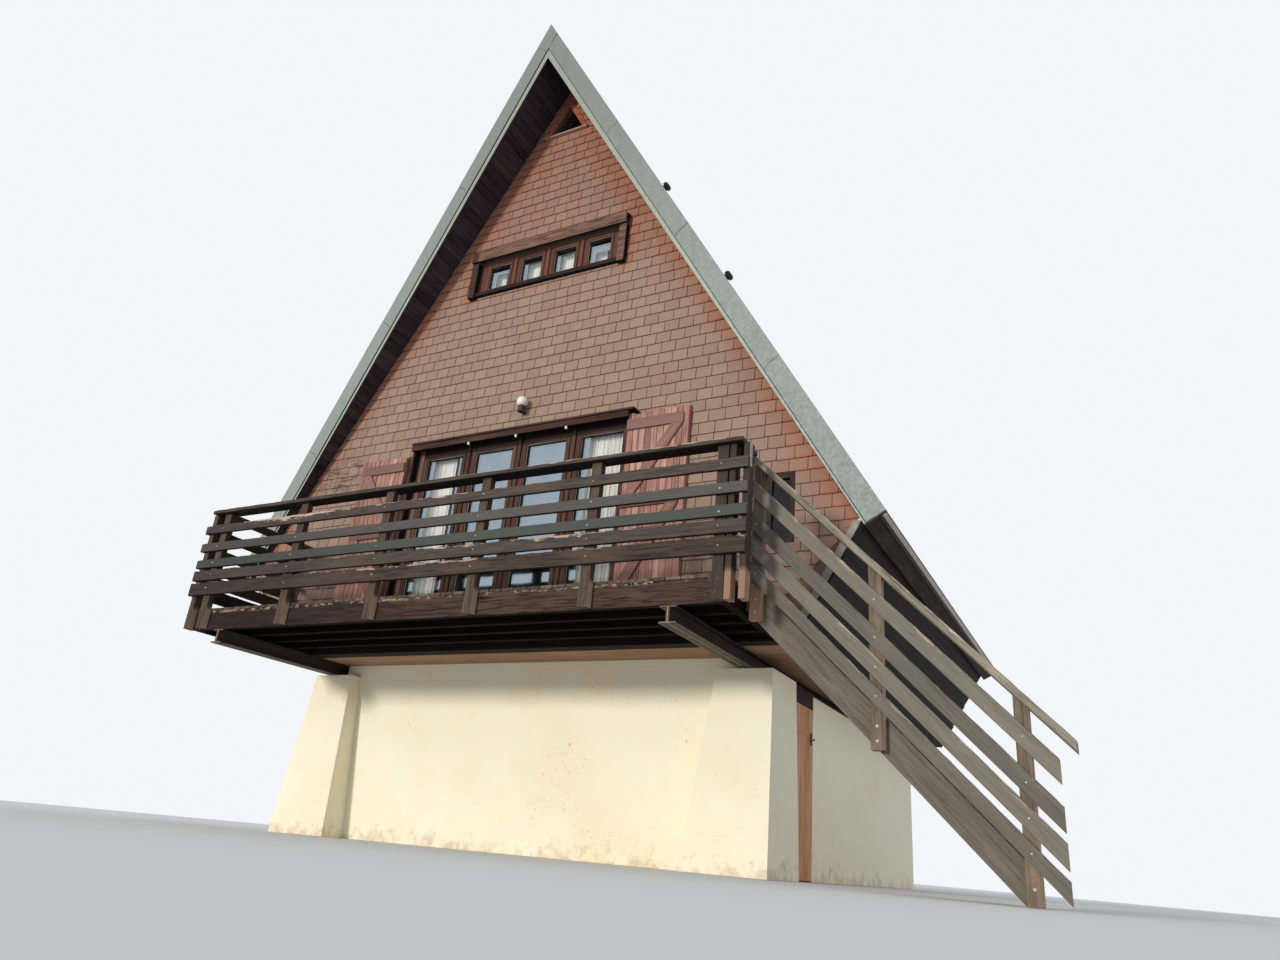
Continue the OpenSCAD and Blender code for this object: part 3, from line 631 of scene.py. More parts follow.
# roof slopes: the boards under each, coloured with painted shade, the right's darker than the left's, and
# where the vent pipes come out of the right one
SOFFIT = {1: ((40, 33, 32), (26, 22, 23), (58, 46, 42)),
          -1: ((68, 59, 66), (46, 41, 48), (94, 79, 79))}
VENT_PIPES, VENT_Y, PIPE_R = (0.269, 0.503), FRONT + 0.7, 0.045
CAP_W = 0.238
SOFFIT_TOP, SOFFIT_BOARD = 0.36, 0.112
SKIRT_ROWS, SKIRT_JOINT = 7, -0.4


def slope(side, s, y, d):
    """A point on a slope, s down from the ridge and d out of its surface."""
    x = s * math.cos(PITCH) + d * math.sin(PITCH)
    return Vector((side * x, y, APEX - s * math.sin(PITCH) + d * math.cos(PITCH)))


def verge(s):
    return VERGE_TOP + (VERGE_LOW - VERGE_TOP) * s / SLOPE


for side, name in ((1, "right"), (-1, "left")):
    b = Build()
    low = SLOPE - 0.004
    ring = [(FRONT - verge(low) + 0.004, -low), (BACK + verge(low) - 0.004, -low),
            (BACK + verge(CAP_W) - 0.004, -CAP_W), (FRONT - verge(CAP_W) + 0.004, -CAP_W)]
    eighths = [k * math.pi / 4 for k in range(8)]
    holes = [[(VENT_Y + PIPE_R * math.cos(a), -at * SLOPE + PIPE_R * math.sin(a)) for a in eighths]
             for at in VENT_PIPES if side > 0]
    cover(b, ring, holes, ROOF_SHINGLES, lambda u, v, d: slope(side, -v, u, d), lambda u, v: 0.3, 0.03)
    b.make(f"{name}_roof_shingles", roof_shingles, slot="roof_cover")

    # soffit boards under the two overhangs, laid from front to back
    b = Build()
    s = SOFFIT_TOP
    along = Vector((0, 1, 0))
    down = slope(side, 1, 0, 0) - slope(side, 0, 0, 0)
    out = slope(side, 0, 0, 1) - slope(side, 0, 0, 0)
    while s < SLOPE - 0.14:
        w = SOFFIT_BOARD + rng.uniform(-0.004, 0.004)
        for end, wall in WALLS.items():
            reach = verge(s + w) - 0.001
            if reach > 0.012:
                mid = slope(side, s + w / 2, wall + end * reach / 2, -ROOF_T - 0.004)
                b.beam(mid, [along, down, out], [reach, w - 0.006, 0.007], 0.002)
        s += w
    soffit_wood = wood(f"soffit_{name}", *SOFFIT[side], wear=0.4, gloss=0.05)
    b.make(f"{name}_soffit_boards", soffit_wood, slot="dark_boards")

    # overlapping boards on the slanted wall under the eave
    b = Build()
    run = Vector((side * (FOOT_X - CORNER_X), 0, FLOOR_LO - CORNER_Z))
    down = run.normalized()
    out = Vector((side * abs(down.z), 0, -abs(down.x)))
    w = run.length / SKIRT_ROWS
    axes = [along, (down - out * 0.06).normalized(), (out + down * 0.03).normalized()]
    for i in range(SKIRT_ROWS):
        start = Vector((side * CORNER_X, 0, CORNER_Z)) + down * (w * (i + 0.5))
        for y0, y1 in ((FRONT + 0.002, SKIRT_JOINT), (SKIRT_JOINT + 0.004, BACK - 0.002)):
            mid = start + Vector((0, (y0 + y1) / 2, 0)) + out * 0.010
            b.beam(mid, axes, [y1 - y0, w + 0.008, 0.014], 0.003)
    b.make(f"{name}_skirt_boards", wood(f"skirt_{name}", (38, 32, 31), (27, 23, 23), (54, 45, 42), wear=0.4),
           slot="dark_boards")


# thin sheets over the raked bands: seen from outside, the left one runs on over the right at the peak, and
# each laps the next
PROUD, BAND_H, SHEET_BACK = 0.010, 0.168, 0.012
SHEET_STEPS = 12
JOINTS = {1: (0.0, 2.0, 3.73, 5.56, SLOPE), -1: (0.0, 0.31, 2.2, 4.0, 5.7, SLOPE)}

# the lip under a sheet: its upper edge's depth, and its lower edge's at the peak and at the eave
LIP_TOP, LIP_PEAK, LIP_EAVE = 0.177, 0.24, 0.192
LIP_STEPS = 24


def band_depth(k):
    """How far under the roof's surface a sheet is at a share k of its height."""
    return -PROUD + 0.0005 + (BAND_H + PROUD) * k


def lip(s):
    return LIP_PEAK + (LIP_EAVE - LIP_PEAK) * s / SLOPE


def verge_ring(side, end, proud, rows):
    """rows: where a sheet starts and ends, s down the slope, at each step of its height."""
    def at(s, depth):
        y = WALLS[end] + end * (verge(s) + BAND_T)
        return [slope(side, s, y + end * t, -depth) for t in (proud, -SHEET_BACK)]

    steps = [(row, band_depth(i / SHEET_STEPS)) for i, row in enumerate(rows)]
    return [at(row[0], depth) for row, depth in steps] + [at(row[1], depth) for row, depth in reversed(steps)]


def peak(side, end, depth):
    """Where a sheet starts, s down the slope, so that it meets the other side's."""
    first = band_depth(0) if side == end else LIP_TOP - 0.0065
    start = (first + 0.5 * depth) / math.sin(PITCH)
    return max(start, 0.075) if end > 0 else start


def lap(k):
    return 0.05 * k ** 1.6 + 0.008 * math.sin(2 * math.pi * k)


sheets, lips = Build(), Build()
for end in (-1, 1):
    for side in (1, -1):
        for i, (s0, s1) in enumerate(zip(JOINTS[side], JOINTS[side][1:])):
            rows = []
            for k in (j / SHEET_STEPS for j in range(SHEET_STEPS + 1)):
                first = peak(side, end, band_depth(k))
                if s0:
                    first = max(s0 + lap(k), first)
                last = s1 + lap(k) if s1 < SLOPE else SLOPE - 0.002
                rows.append((first, max(last - 0.007, first + 0.001)))
            sheets.prism(verge_ring(side, end, 0.0012 + 0.0018 * (i % 2), rows))
        for i in range(LIP_STEPS):
            s0, s1 = (0.45 + (SLOPE - 0.46) * (i + h) / LIP_STEPS for h in (0, 1))
            mitre = [0.001 + math.tan(PITCH) * depth for depth in (lip(s0), LIP_TOP)]
            low, high = mitre if i == 0 else (s0, s0)
            ring = []
            for s, depth in ((high, LIP_TOP), (s1, LIP_TOP), (s1, lip(s1) - 0.0015), (low, lip(s0) - 0.0015)):
                y = WALLS[end] + end * (verge(s) + 0.014)
                ring.append([slope(side, s, y + end * t, -depth) for t in (0.003, -0.004)])
            lips.prism(ring)
sheets.make("verge_sheets", verge_sheet, slot="verge_metal")
lip_sheet = metal("lip_sheet", (160, 166, 152), (130, 134, 120), 0.55, 0.1, high=0.8)
lips.make("verge_lips", lip_sheet, slot="verge_metal")

# sheets over the gables' corners beside the slanted walls: an upper one laps a lower one
b = Build()
CORNER_SHEET, SHEET_T = 0.07, 0.0015
for end, wall in WALLS.items():
    for side in (1, -1):
        for top, low, depth in ((0.0, 0.46, 0.0165), (0.45, 1.0, 0.0145)):
            ring = []
            for k, inward in ((top, 0.0), (top, CORNER_SHEET), (low, CORNER_SHEET), (low, 0.0)):
                x = side * (CORNER_X + (FOOT_X - CORNER_X) * k - inward)
                z = CORNER_Z + (FLOOR_LO - CORNER_Z) * k
                ring.append([Vector((x, wall + end * t, z)) for t in (depth, depth - SHEET_T)])
            b.prism(ring)
b.make("corner_sheets", metal("corner_sheet", (132, 128, 115), (106, 101, 90), 0.55, 0.1), slot="pale_metal")

# louvres in the gable vents, near black as painted shade of the vent's opening
b = Build()
for end, wall in WALLS.items():
    for i in range(7):
        z = VENT_Z + 0.03 + i * 0.05
        half = 0.225 - (z - VENT_Z) * RUN
        if half > 0.02:
            axes = [Vector((1, 0, 0)), Vector((0, -end, 1)).normalized(), Vector((0, end, 1)).normalized()]
            b.beam((0, wall - end * 0.05, z), axes, [2 * half, 0.05, 0.006], 0.001)
b.make("vent_louvres", wood("louvre_wood", (28, 25, 28), (18, 17, 19), (40, 35, 36)), slot="dark_boards")


# windows: sashes, cover strips and glazing edges on the frames
BEAD = 0.007


def sashes(z0, z1, pane, pitch, bottom, top, y, out, sash):
    for i in (-1.5, -0.5, 0.5, 1.5):
        x = i * pitch
        lo, hi = x - pane / 2, x + pane / 2
        a, c = z0 + bottom, z1 - top
        y0, y1 = sorted((y, y + out * 0.010))
        for x0, x1 in ((lo - sash, lo + 0.003), (hi - 0.003, hi + sash)):
            b.box((x0, y0, a - sash), (x1, y1, c + sash), axis=2)
        for p, q in ((a - sash, a + 0.003), (c - 0.003, c + sash)):
            b.box((lo + 0.003, y0, p), (hi - 0.003, y1, q))
        y0, y1 = sorted((y - out * 0.012, y - out * 0.002))
        for x0, x1 in ((lo, lo + BEAD), (hi - BEAD, hi)):
            beads.box((x0, y0, a), (x1, y1, c), 0.002, 2)
        for p, q in ((a, a + BEAD), (c - BEAD, c)):
            beads.box((lo + BEAD, y0, p), (hi - BEAD, y1, q), 0.002)
    for i in (-1, 0, 1):
        x = i * pitch
        y0, y1 = sorted((y, y + out * 0.018))
        b.box((x - 0.02, y0, z0 + 0.01), (x + 0.02, y1, z1 - 0.01), 0.004, 2)


b, beads = Build(), Build()
for row in ((DECK, DECK + TALL_H, 0.47, 0.64, 0.11, 0.14, FRONT + 0.005, -1, 0.042),
            (LOFT_LO, LOFT_HI, 0.28, 0.44, 0.045, 0.045, FRONT + 0.005, -1, 0.03),
            (LOFT_LO, LOFT_HI, 0.28, 0.44, 0.045, 0.045, BACK - 0.005, 1, 0.03),
            (BACK_LO, BACK_HI, 0.28, 0.44, 0.07, 0.07, BACK - 0.005, 1, 0.035)):
    sashes(*row)
b.make("window_sashes", wood("window_stain", (90, 63, 53), (58, 41, 36), (116, 88, 74), wear=0.55,
                             extra=window_tones), slot="window_wood")
beads.make("glazing_beads", wood("bead_paint", (176, 170, 162), (120, 108, 100), (196, 192, 186)),
           slot="window_wood")

# curtains behind the front windows: name, x0, x1, z0, z1, folds and the depth of a fold
CURTAINS = [
    ("tall_left", -1.21, -0.87, DECK + 0.07, DECK + 1.93, 8, 0.026),
    ("tall_right", 0.745, 1.145, DECK + 0.07, DECK + 1.93, 10, 0.026),
    ("loft_1", -0.80, -0.63, 5.83, 6.14, 5, 0.010),
    ("loft_2", -0.37, -0.17, 5.83, 6.18, 6, 0.010),
    ("loft_3", 0.07, 0.275, 5.83, 6.18, 6, 0.010),
    ("loft_4", 0.535, 0.71, 5.83, 6.085, 5, 0.010),
]
CURTAIN_Y = FRONT + 0.105

# seen from low at the right, a curtain shows on the glass this share of the way towards the eye at SEEN_X
SHIFT, SEEN_X = 0.0152, 5.14

# glass: the panes mirror a pale blue-grey, and least of it where a curtain stands behind them
m = Mat("window_glass", rough=0.04, metallic=1.0, specular=0.5)
x, _, z = (m.split(m.coords(), i) for i in range(3))
smear = m.noise(m.coords(), 3, 4, 0.6)
tone = m.over((181, 196, 206), (190, 204, 213), smear, 0.35, 0.7)
# painted shade: the small window's pane on the right mirrors a dark grey
tone = m.over(tone, (60, 60, 62), x, 2.4, 2.5)
covered = 0.0
for _, x0, x1, z0, z1, _, _ in CURTAINS:
    x0, x1 = (v + SHIFT * (SEEN_X - v) for v in (x0, x1))
    z1 -= SHIFT * z1
    part = m.times(m.map(x, x0 - 0.01, x0 + 0.01), m.map(x, x1 + 0.01, x1 - 0.01))
    part = m.times(part, m.times(m.map(z, z1 + 0.01, z1 - 0.01), m.map(z, z0 - 0.1, z0)))
    covered = m.math("MAXIMUM", covered, part)
glass = m.done(tone, Roughness=m.map(smear, 0.3, 0.7, 0.03, 0.06), Alpha=m.map(covered, 0, 1, 0.58, 0.06))

m = Mat("curtain_cloth", rough=0.95, specular=0.1)
loc = m.attr("loc", "Vector")
# grey woven stripes, made stronger to stand in as painted shade of the folds
stripes_and_fold_shade = m.node("ShaderNodeTexWave", {"Vector": loc, "Scale": 8, "Distortion": 0.4}, wave_type="BANDS",
               bands_direction="X")
color = m.over((252, 250, 241), (196, 198, 194), stripes_and_fold_shade.outputs["Fac"], 0.6, 0.95, 0.7)
color = m.over(color, (206, 204, 192), m.noise(loc, 3, 4), 0.5, 0.8, 0.4)
m.bump(m.noise(m.scaled(loc, (500, 60, 1)), 2, 2), 0.2, 0.001)
cloth = m.done(color, **{"Sheen Weight": 0.2})


def curtain(name, x0, x1, z0, z1, folds, deep):
    """One gathered sheet, hung from a rail behind the frame."""
    cols, rows = folds * 8, 26
    pts, locs = [], []
    phase = rng.uniform(0, 6.3)
    for r in range(rows + 1):
        k = r / rows
        for c in range(cols + 1):
            t = c / cols
            a = 2 * math.pi * folds * t + phase + 0.5 * math.sin(5 * t + 2 * k)
            reach = deep * (0.55 + 0.45 * k) * (0.8 + 0.2 * math.sin(9 * t + phase))
            x = x0 + (x1 - x0) * t + 0.25 * reach * math.sin(2 * a)
            pts.append(Vector((x, CURTAIN_Y + reach * math.sin(a), z1 + (z0 - z1) * k)))
            locs.append((t * (x1 - x0) * 1.6, k * (z1 - z0), 0))
    row = cols + 1
    faces = [[r * row + c, r * row + c + 1, (r + 1) * row + c + 1, (r + 1) * row + c]
             for r in range(rows) for c in range(cols)]
    b = Build()
    b.add(pts, faces, locs)
    o = b.make(name, cloth, slot="curtain_cloth", smooth=True)
    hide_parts("curtains")


for name, *sizes in CURTAINS:
    curtain(f"curtain_{name}", *sizes)


# shutters: planks with ledges and braces, two leaves folded on each other
LEAF, LEAF_PLANKS, LEAF_T, LEDGE_T, LEDGE_H = 0.635, 10, 0.028, 0.021, 0.105
BRACE = 0.125
shutter_wood = wood("shutter_stain", (180, 134, 122), (136, 92, 82), (208, 170, 156), wear=0.8,
                    alt=(112, 87, 79))


def leaf_planks(b, side, x, z0, h, y, ragged):
    w = LEAF / LEAF_PLANKS
    for i in range(LEAF_PLANKS):
        top = h - (0.004 + 0.02 * rng.random() ** 2 if ragged else 0.004)
        lo, hi = sorted((side * (x + i * w + 0.0015), side * (x + (i + 1) * w - 0.0015)))
        b.box((lo, y - LEAF_T, z0 + 0.004 * rng.random()), (hi, y, z0 + top), 0.0035, 2, 0.25 * rng.random())


def shutter(name, side, x, h):
    b = Build()
    z0 = DECK + 0.06
    leaf_planks(b, side, x, z0, h, FRONT, False)
    leaf_planks(b, side, x, z0, h, FRONT - LEAF_T - 0.0005, True)
    y1 = FRONT - 2 * LEAF_T - 0.0005
    y0 = y1 - LEDGE_T
    ledges = [0.11, h / 2, h - 0.185]
    right = x + 0.585
    for z in ledges:
        lo, hi = sorted((side * x, side * right))
        b.box((lo, y0, z0 + z), (hi, y1, z0 + z + LEDGE_H), 0.004, 0, 0.85)
    for low, high in zip(ledges, ledges[1:]):
        p = Vector((side * (x + BRACE / 2), (y0 + y1) / 2, z0 + low + LEDGE_H))
        q = Vector((side * (right - BRACE / 2), (y0 + y1) / 2, z0 + high))
        d = (q - p).normalized()
        short = Vector((0, 0, 0.001))
        b.bar(p + short, q - short, Vector((0, 1, 0)).cross(d), BRACE * abs(d.z), LEDGE_T, 0.2, 0.001, 0.004,
              0.45, (0, 0, 1))
    b.make(name, shutter_wood, slot="shutter_wood", replaces=[name])


shutter("shutter_right", 1, TALL + 0.008, 1.934)
shutter("shutter_left", -1, TALL + 0.198, 1.86)

# deck boards
b = Build()
x = DECK_L
while x < DECK_R - 0.03:
    w = min(0.12 + rng.uniform(-0.002, 0.002), DECK_R - x)
    lo = (x + 0.0025, FRONT - DECK_D + 0.002, DECK - 0.028)
    b.box(lo, (x + w - 0.0025, FRONT, DECK - rng.random() * 0.002), 0.004, 1)
    x += w
# the boards' undersides get painted shade
deck_wood = wood("deck_wood", (96, 88, 76), (60, 54, 48), (124, 114, 98), wear=0.8, under=SHADE_UNDER_DECK,
                 gloss=0.05)
b.make("deck_planks", deck_wood, slot="deck_board_wood", replaces=["deck_boards"])

# rail boards: bottom and top over the deck, hue, wear, and (least, more, x0, x1) of the paint that is off
RAILS = [
    (0.741, 0.829, 0.2, 0.006, (0.2, 0.95, -2.4, 0.6)),
    (0.555, 0.641, 0.6, 0.003, None),
    (0.385, 0.470, 1.0, 0.003, None),
    (0.258, 0.361, 0.2, 0.006, (0.3, 0.45, -0.3, 2.3)),
    (0.110, 0.236, 0.0, 0.006, (0.35, 0.3, -1.7, 1.0)),
]
UP = (0, 0, 1)
BOARD_T = 0.03
RAIL_Y = FRONT - 1.175
rail_wood = wood("rail_boards_paint", (80, 68, 59), (44, 36, 33), (98, 82, 72), wear=0.55,
                 peel=(188, 164, 148), alt=(82, 85, 81), shade=(0.6, -2.6, 0.35), under=IN_SHADE)
b = Build()
for z0, z1, hue, wear, bare in RAILS:
    z, first = DECK + (z0 + z1) / 2, len(b.v)
    b.bar((DECK_L - 0.09, RAIL_Y, z), (DECK_R + 0.15, RAIL_Y, z), UP, z1 - z0, BOARD_T, 0.045, wear, hue=hue)
    if bare:
        b.peel(first, *bare)
b.make("rail_planks", rail_wood, slot="rail_board_wood", replaces=["rail_boards"])
b = Build()
for z0, z1, hue, _, _ in RAILS:
    x, z = DECK_L - 0.075, DECK + (z0 + z1) / 2
    b.bar((x, FRONT - 1.159, z), (x, FRONT - 0.001, z), UP, z1 - z0, BOARD_T, 0.06, hue=hue)
b.make("left_rail_planks", rail_wood, slot="rail_board_wood", replaces=["left_rail_boards"])

# the hand rail along the front and its two returns
cap_wood = wood("rail_cap_paint", (74, 66, 59), (44, 39, 36), (98, 84, 75), wear=0.6, peel=(184, 162, 146),
                under=IN_SHADE)
CAP_T, CAP_D = 0.038, 0.14
CAP_Y, RETURN_Y = FRONT - 1.135, FRONT - 1.064
b = Build()
z = DECK + 0.985 - CAP_T / 2
for x0, y0, x1, y1, step in ((DECK_L - 0.035, CAP_Y, DECK_R + 0.107, CAP_Y, 0.05),
                             (DECK_L + 0.035, RETURN_Y, DECK_L + 0.035, FRONT - 0.001, 0.06),
                             (DECK_R + 0.037, RETURN_Y, DECK_R + 0.037, FRONT - 0.906, 0.06)):
    b.bar((x0, y0, z), (x1, y1, z), UP, CAP_T, CAP_D, step)
b.peel(0, 0.3, 0.6, 0.0, 9.0)
b.make("rail_cap_boards", cap_wood, slot="rail_cap_wood", replaces=["rail_cap"])

# stair: worn side boards and hand rail. Each board's bottom and top over the stair's line, and its hue
STAIR_RAILS = [(0.678, 0.818, 0.4), (0.423, 0.566, 0.35), (0.230, 0.377, 0.4), (0.059, 0.182, 0.3)]
STAIR_X, STAIR_Y = DECK_R + 0.036, FRONT - 0.74
STAIR_END = STAIR_X + 1.88 - 0.19
UPRIGHT = (1, 0, 0)
ACROSS = math.cos(math.atan(STEEP))


def stair_at(x, y, d):
    """A point d over the line of the stair."""
    return (x, y, DECK - (x - STAIR_X) * STEEP + d)


stair_wood = wood("stair_board_stain", (122, 113, 102), (96, 89, 81), (136, 128, 116), wear=0.6,
                  peel=(164, 150, 132), alt=(104, 107, 95))
b = Build()
for d0, d1, hue in STAIR_RAILS:
    p0, p1 = (stair_at(x, STAIR_Y - 0.075, (d0 + d1) / 2) for x in (DECK_R + 0.02, STAIR_END + 0.227))
    b.bar(p0, p1, UP, (d1 - d0) * ACROSS, BOARD_T, 0.06, hue=hue, cuts=UPRIGHT)
b.v = [(v[0], v[1], max(v[2], 0.002)) for v in b.v]
b.red = [0.5] * len(b.v)
b.make("stair_rail_planks", stair_wood, slot="stair_side_wood", replaces=["stair_rail_boards"])
b = Build()
p0, p1 = (stair_at(x, STAIR_Y - 0.065, 0.9835) for x in (DECK_R + 0.068, STAIR_END + 0.324))
b.bar(p0, p1, UP, 0.067 * ACROSS, CAP_D, 0.06, cuts=UPRIGHT)
b.red = [0.55] * len(b.v)
b.make("stair_cap_board", wood("stair_cap_stain", (132, 126, 112), (92, 86, 76), (158, 148, 132), wear=0.8,
                               peel=(186, 170, 148)), slot="stair_cap_wood", replaces=["stair_cap"])

# bolts
b, rusty = Build(), Build()
for x in POSTS:
    for z0, z1, *_ in RAILS:
        at = (x + rng.uniform(-0.012, 0.012), RAIL_Y - 0.015, DECK + (z0 + z1) / 2 + rng.uniform(-0.01, 0.01))
        b.bolt(at, rng.uniform(0.0045, 0.0065), 0.005)
    for z in (-0.155, -0.06):
        rusty.bolt((x + rng.uniform(-0.01, 0.01), FRONT - 1.16, DECK + z), 0.009, 0.008)
for x in (DECK_R + 0.045, (DECK_R + 0.045 + STAIR_END) / 2, STAIR_END):
    x += 0.0425
    for d0, d1, _ in STAIR_RAILS:
        b.bolt(stair_at(x, STAIR_Y - 0.09, (d0 + d1) / 2), 0.0055, 0.005)
    for d in (-0.06, -0.15):
        at = stair_at(x, STAIR_Y - 0.06, d)
        if at[2] > 0.03:
            b.bolt(at, 0.009, 0.008)
for z in (2.70, 2.76):
    b.bolt((DECK_R + 0.15, FRONT - 1.13, z), 0.008, 0.006, UPRIGHT)
b.make("bolt_heads", metal("bolt_heads", (176, 170, 160), (110, 96, 84), 0.45, 0.3, (104, 72, 54)))
rusty.make("rusty_bolts", metal("bolts_rusted", (92, 76, 64), (70, 52, 42), 0.7, 0.2, (84, 56, 42)))

# painted highlights along the edges of the two channels in each beam, where light from below catches them
b = Build()
EDGE, EDGE_OUT = 0.003, 0.0015
for beam in ("beam_left", "beam_right"):
    lo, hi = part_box(beam)
    mid = (lo.x + hi.x) / 2
    y0, y1 = lo.y - EDGE_OUT, lo.y + EDGE
    for x in (lo.x + EDGE, mid - 0.004, mid + 0.004, hi.x - EDGE):
        b.box((x - EDGE, lo.y, lo.z - EDGE_OUT), (x + EDGE, FRONT + 0.3, lo.z + EDGE), 0.001, 1)
    for z in (lo.z + EDGE, hi.z - EDGE):
        b.box((lo.x + EDGE, y0, z - EDGE), (hi.x - EDGE, y1, z + EDGE), 0.001)
    b.box((mid - 0.005, y0, lo.z + 0.007), (mid + 0.005, y1, hi.z - 0.007), 0.001, 2)
b.make("beam_edges", metal("beam_edge_highlight", (150, 124, 98), (88, 66, 50), 0.6, 0.3, (110, 76, 52)))

# bracket at the right corner, under the hand rail
b = Build()
b.box((DECK_R + 0.15, FRONT - 1.158, DECK + 0.76), (DECK_R + 0.1535, FRONT - 1.118, DECK + 0.945), 0.001, 2)
b.box((DECK_R + 0.108, FRONT - 1.155, DECK + 0.9435), (DECK_R + 0.15, FRONT - 1.115, DECK + 0.9468), 0.001)
b.make("corner_bracket", metal("bracket_zinc", (140, 146, 152), (100, 100, 102), 0.5, 0.4))

# basement door: planks on two ledges
DOOR_PLANKS = 6
b = Build()
lo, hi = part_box("basement_door")
w = (hi.y - lo.y) / DOOR_PLANKS
for i in range(DOOR_PLANKS):
    b.box((lo.x + 0.006, lo.y + i * w + 0.0015, lo.z), (hi.x, lo.y + (i + 1) * w - 0.0015, hi.z), 0.004, 2)
for z in (lo.z + 0.2, hi.z - 0.32):
    b.box((lo.x, lo.y + 0.03, z), (lo.x + 0.0075, hi.y - 0.03, z + 0.11), axis=1)
b.make("basement_door_planks", wood("door_stain", (228, 168, 128), (182, 126, 92), (236, 188, 148), wear=0.6),
       body="door", slot="door_wood", replaces=["basement_door"])

# materials of the solids that show as they are
m = Mat("lamp_globe", rough=0.25, specular=0.5)
globe = m.done(m.over((240, 238, 230), (214, 208, 196), m.noise(m.coords(), 40, 4), 0.5, 0.8))
CORE = ((60, 48, 46), (38, 32, 34), (86, 68, 58), "Y")
for names, mat in {
    "front_wall back_wall": wall_shingles,
    "roof_left roof_right": wood("roof_deck", *CORE),
    "skirt_left skirt_right": wood("skirt_core", *CORE),
    "ridge_cap": verge_sheet,
    # the bands under the sheets are near black: painted shade in the seams between sheets and lip
    "front_band_left front_band_right back_band_left back_band_right":
        metal("seam_shade_sheet", (56, 60, 58), (44, 46, 44), 0.6, 0.1),
    "eave_strips": metal("eave_sheet", (198, 188, 176), (150, 140, 126), 0.55, 0.2, extra=eave_edge),
    "corner_strips": metal("pale_sheet", (158, 160, 148), (112, 108, 96), 0.5, 0.3),
    "roof_vents": metal("vent_caps", (38, 42, 48), (64, 64, 62), 0.6, 0.0),
    "main_floor": wood("pale_soffit", (162, 128, 104), (134, 104, 84), (174, 142, 118), "X", 0.6),
    "loft_floor": wood("loft_boards", (168, 130, 90), (132, 98, 66), (180, 146, 108), "Y"),
    "tall_window_frame loft_window_frame back_window_frames":
        wood("frame_stain", (88, 60, 50), (56, 39, 34), (112, 84, 70), "Z", extra=window_tones),
    # the window boxes' undersides and the parts set back in them get painted shade
    "tall_window_box": wood("head_stain", (76, 50, 42), (46, 33, 30), (100, 72, 59), "X", under=(16, 13, 13),
            extra=behind(FRONT - 0.09, (20, 16, 15))),
    "loft_window_box": wood("box_stain", (128, 98, 82), (58, 42, 38), (146, 118, 98), "X", 0.8,
            under=(16, 14, 15), shade=(-0.9, -0.94, 0.9),
            extra=behind(FRONT - 0.068, (17, 14, 15))),
    "small_window_frame": wood("small_stain", (58, 46, 44), (38, 32, 32), (84, 70, 62), "Z"),
    "gable_vent_trim": wood("vent_trim", (168, 94, 62), (126, 72, 52), (176, 122, 94), "X", extra=pale_sill),
    "basement_front_wall basement_left_wall basement_right_wall basement_back_wall pier_left pier_right":
        plaster("lime_render", (248, 243, 219), (247, 236, 206), (190, 158, 128)),
    "basement_floor": plaster("concrete", (150, 146, 140), (138, 132, 124), (104, 94, 84)),
    "basement_lintel": wood("lintel_stain", (60, 48, 44), (40, 34, 32), (84, 70, 60), "Y"),
    "door_ironwork": metal("door_straps", (196, 142, 108), (150, 106, 80), 0.7, 0.0, extra=black_catch),
    "door_pintles": metal("iron", (46, 42, 42), (76, 62, 54), 0.6, 0.5, (96, 58, 40)),
    "beam_left beam_right": metal("beam_paint", (48, 36, 31), (30, 24, 22), 0.6, 0.05, (84, 52, 38)),
    # the deck frame gets painted shade on its undersides, on the joists behind its front board and towards
    # its left end
    "deck_frame": wood("deck_frame_stain", (84, 67, 59), (38, 31, 29), (108, 87, 76), "X", under=SHADE_UNDER_DECK,
            shade=(0.9, -1.8, 0.74), extra=fascia_edge, gloss=0.03),
    # painted light on right-looking faces and on the feet at the right end below the deck, and painted shade
    # on the posts at the right end
    "rail_posts": wood("rail_post_paint", (88, 74, 64), (58, 48, 42), (108, 92, 78), "Z", 0.6,
            side=(184, 162, 138), shade=(2.62, 2.75, 0.7), extra=sunlit_feet),
    "stair_sides": wood("stringer_stain", (114, 106, 94), (90, 84, 75), (130, 121, 108), "X", 0.6,
            turn=-math.atan(STEEP)),
    "stair_treads": wood("tread_stain", (112, 106, 92), (80, 74, 64), (136, 128, 112), "Y", 0.7),
    # painted light on right-looking faces below the deck and on the first post's foot
    "stair_posts": wood("stair_post_stain", (128, 112, 95), (92, 80, 68), (150, 134, 115), "Z", 0.6,
            side=(196, 176, 152), extra=sunlit_feet),
    "wall_lamp": metal("lamp_base", (58, 32, 26), (40, 26, 23), 0.6, 0.0),
    "lamp_globes": globe,
    "front_window_glass back_window_glass": glass,
}.items():
    for n in names.split():
        nodes[n].data.materials.clear()
        nodes[n].data.materials.append(mat)

# rounded edges on plain pieces: the buttresses' are worn broad
for n in ("rail_posts", "stair_posts", "stair_sides", "stair_treads", "deck_frame", "tall_window_box",
          "loft_window_box", "pier_left", "pier_right", "tall_window_frame", "loft_window_frame",
          "small_window_frame", "gable_vent_trim"):
    mod = nodes[n].modifiers.new("soft_edges", "BEVEL")
    mod.width, mod.segments = (0.018, 3) if n.startswith("pier") else (0.004, 2)
    mod.limit_method = "ANGLE"
    mod.harden_normals = False

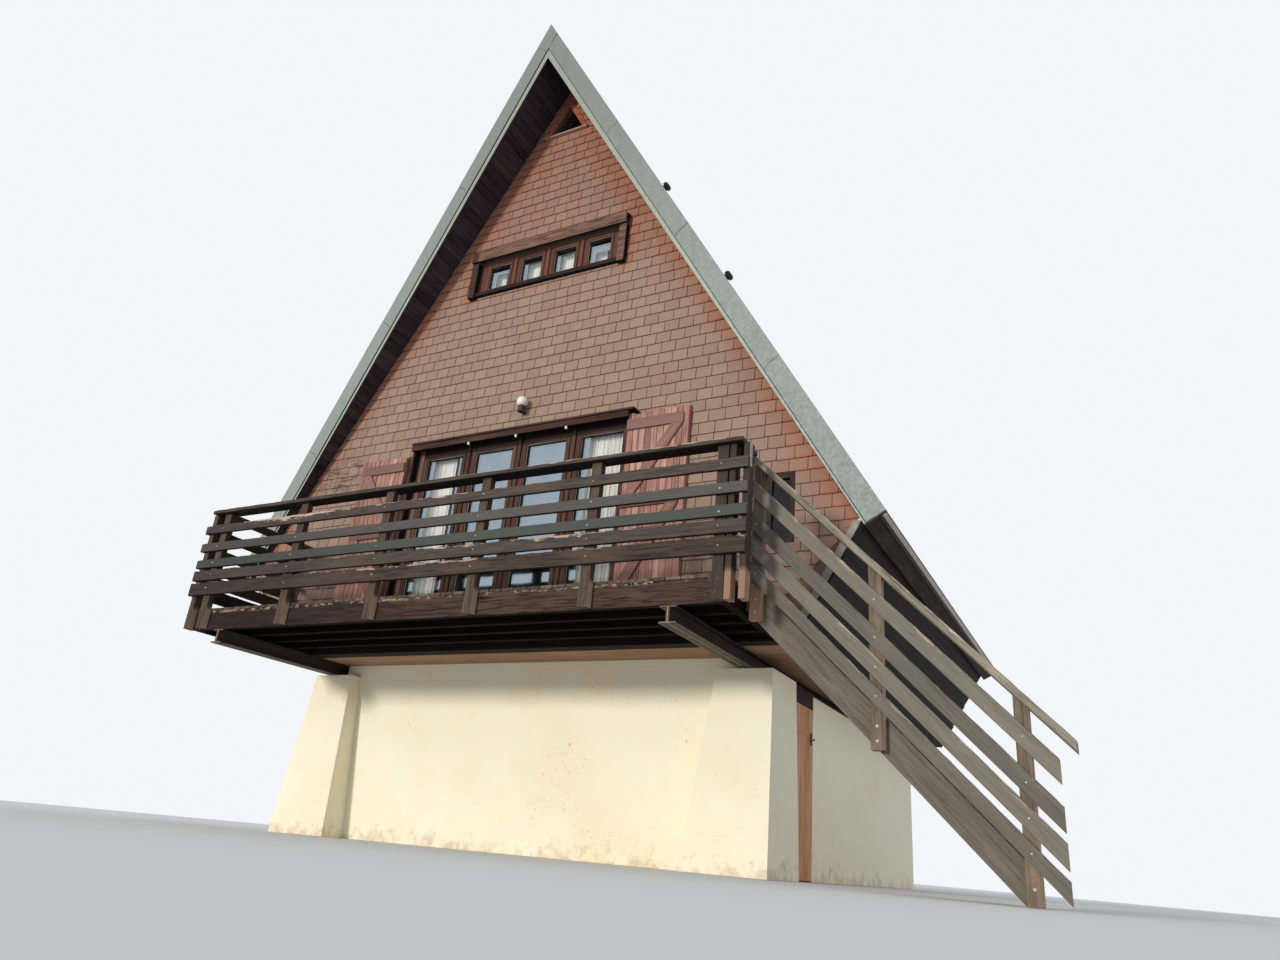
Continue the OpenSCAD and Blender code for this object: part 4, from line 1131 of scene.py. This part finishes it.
# floor, light and camera
FLOOR, FLOOR_Z = 90, -0.002
floor_mesh = bpy.data.meshes.new("floor")
floor_mesh.from_pydata([(u, v, FLOOR_Z) for u, v in rect(-FLOOR, FLOOR, -FLOOR, FLOOR)], [], [(0, 1, 2, 3)])
floor = link("floor", floor_mesh)
m = Mat("floor_pale", rough=0.95, specular=0.1)
floor_mesh.materials.append(m.done(m.mix((232, 232, 230), (226, 226, 224), m.noise(m.coords(), 0.6, 3))))

# the world lights the object softly, and the camera, mirrors and glass see a paler one
world = bpy.data.worlds.new("studio")
bpy.context.scene.world = world
world.use_nodes = True
t = world.node_tree
t.nodes.clear()
kinds = ("ShaderNodeOutputWorld", "ShaderNodeMixShader", "ShaderNodeLightPath")
out, mixer, path = (t.nodes.new(kind) for kind in kinds)
share = path.outputs["Is Camera Ray"]
for ray in ("Is Glossy Ray", "Is Transmission Ray"):
    either = t.nodes.new("ShaderNodeMath")
    either.operation = "MAXIMUM"
    t.links.new(share, either.inputs[0])
    t.links.new(path.outputs[ray], either.inputs[1])
    share = either.outputs[0]
t.links.new(share, mixer.inputs[0])
for i, color, strength in ((1, (0.92, 0.96, 1.02, 1), 0.62), (2, (0.90, 0.92, 0.95, 1), 1.0)):
    background = t.nodes.new("ShaderNodeBackground")
    background.inputs[0].default_value = color
    background.inputs[1].default_value = strength
    t.links.new(background.outputs[0], mixer.inputs[i])
t.links.new(mixer.outputs[0], out.inputs[0])

sun = bpy.data.lights.new("key", "SUN")
sun.energy = 2.05
sun.angle = math.radians(8)
sun.color = (1.0, 0.95, 0.88)
TO_SUN = Vector((-0.30, -1.0, 0.20))
link("key", sun).rotation_euler = (-TO_SUN).to_track_quat("-Z", "Y").to_euler()

# the fitted camera: its turn as an axis times an angle, its place, and its focal length for a picture's width
CAM_TURN = Vector((1.1273, 0.3542, -0.3757))
CAM_AT = Vector((5.1442, -6.551 + FRONT, -1.85 + DECK))
FOCAL, PICTURE, SENSOR = 897.1297, 1280, 36
cam_data = bpy.data.cameras.new("camera")
cam = link("camera", cam_data)
right, down, ahead = Matrix.Rotation(CAM_TURN.length, 3, CAM_TURN.normalized())
pose = Matrix((right, -down, -ahead)).transposed().to_4x4()
pose.translation = CAM_AT
cam.matrix_world = pose
cam_data.sensor_fit = "HORIZONTAL"
cam_data.sensor_width = SENSOR
cam_data.lens = FOCAL / PICTURE * SENSOR
cam_data.clip_start, cam_data.clip_end = 0.05, 500
bpy.context.scene.camera = cam
bpy.context.scene.view_settings.view_transform = "Standard"
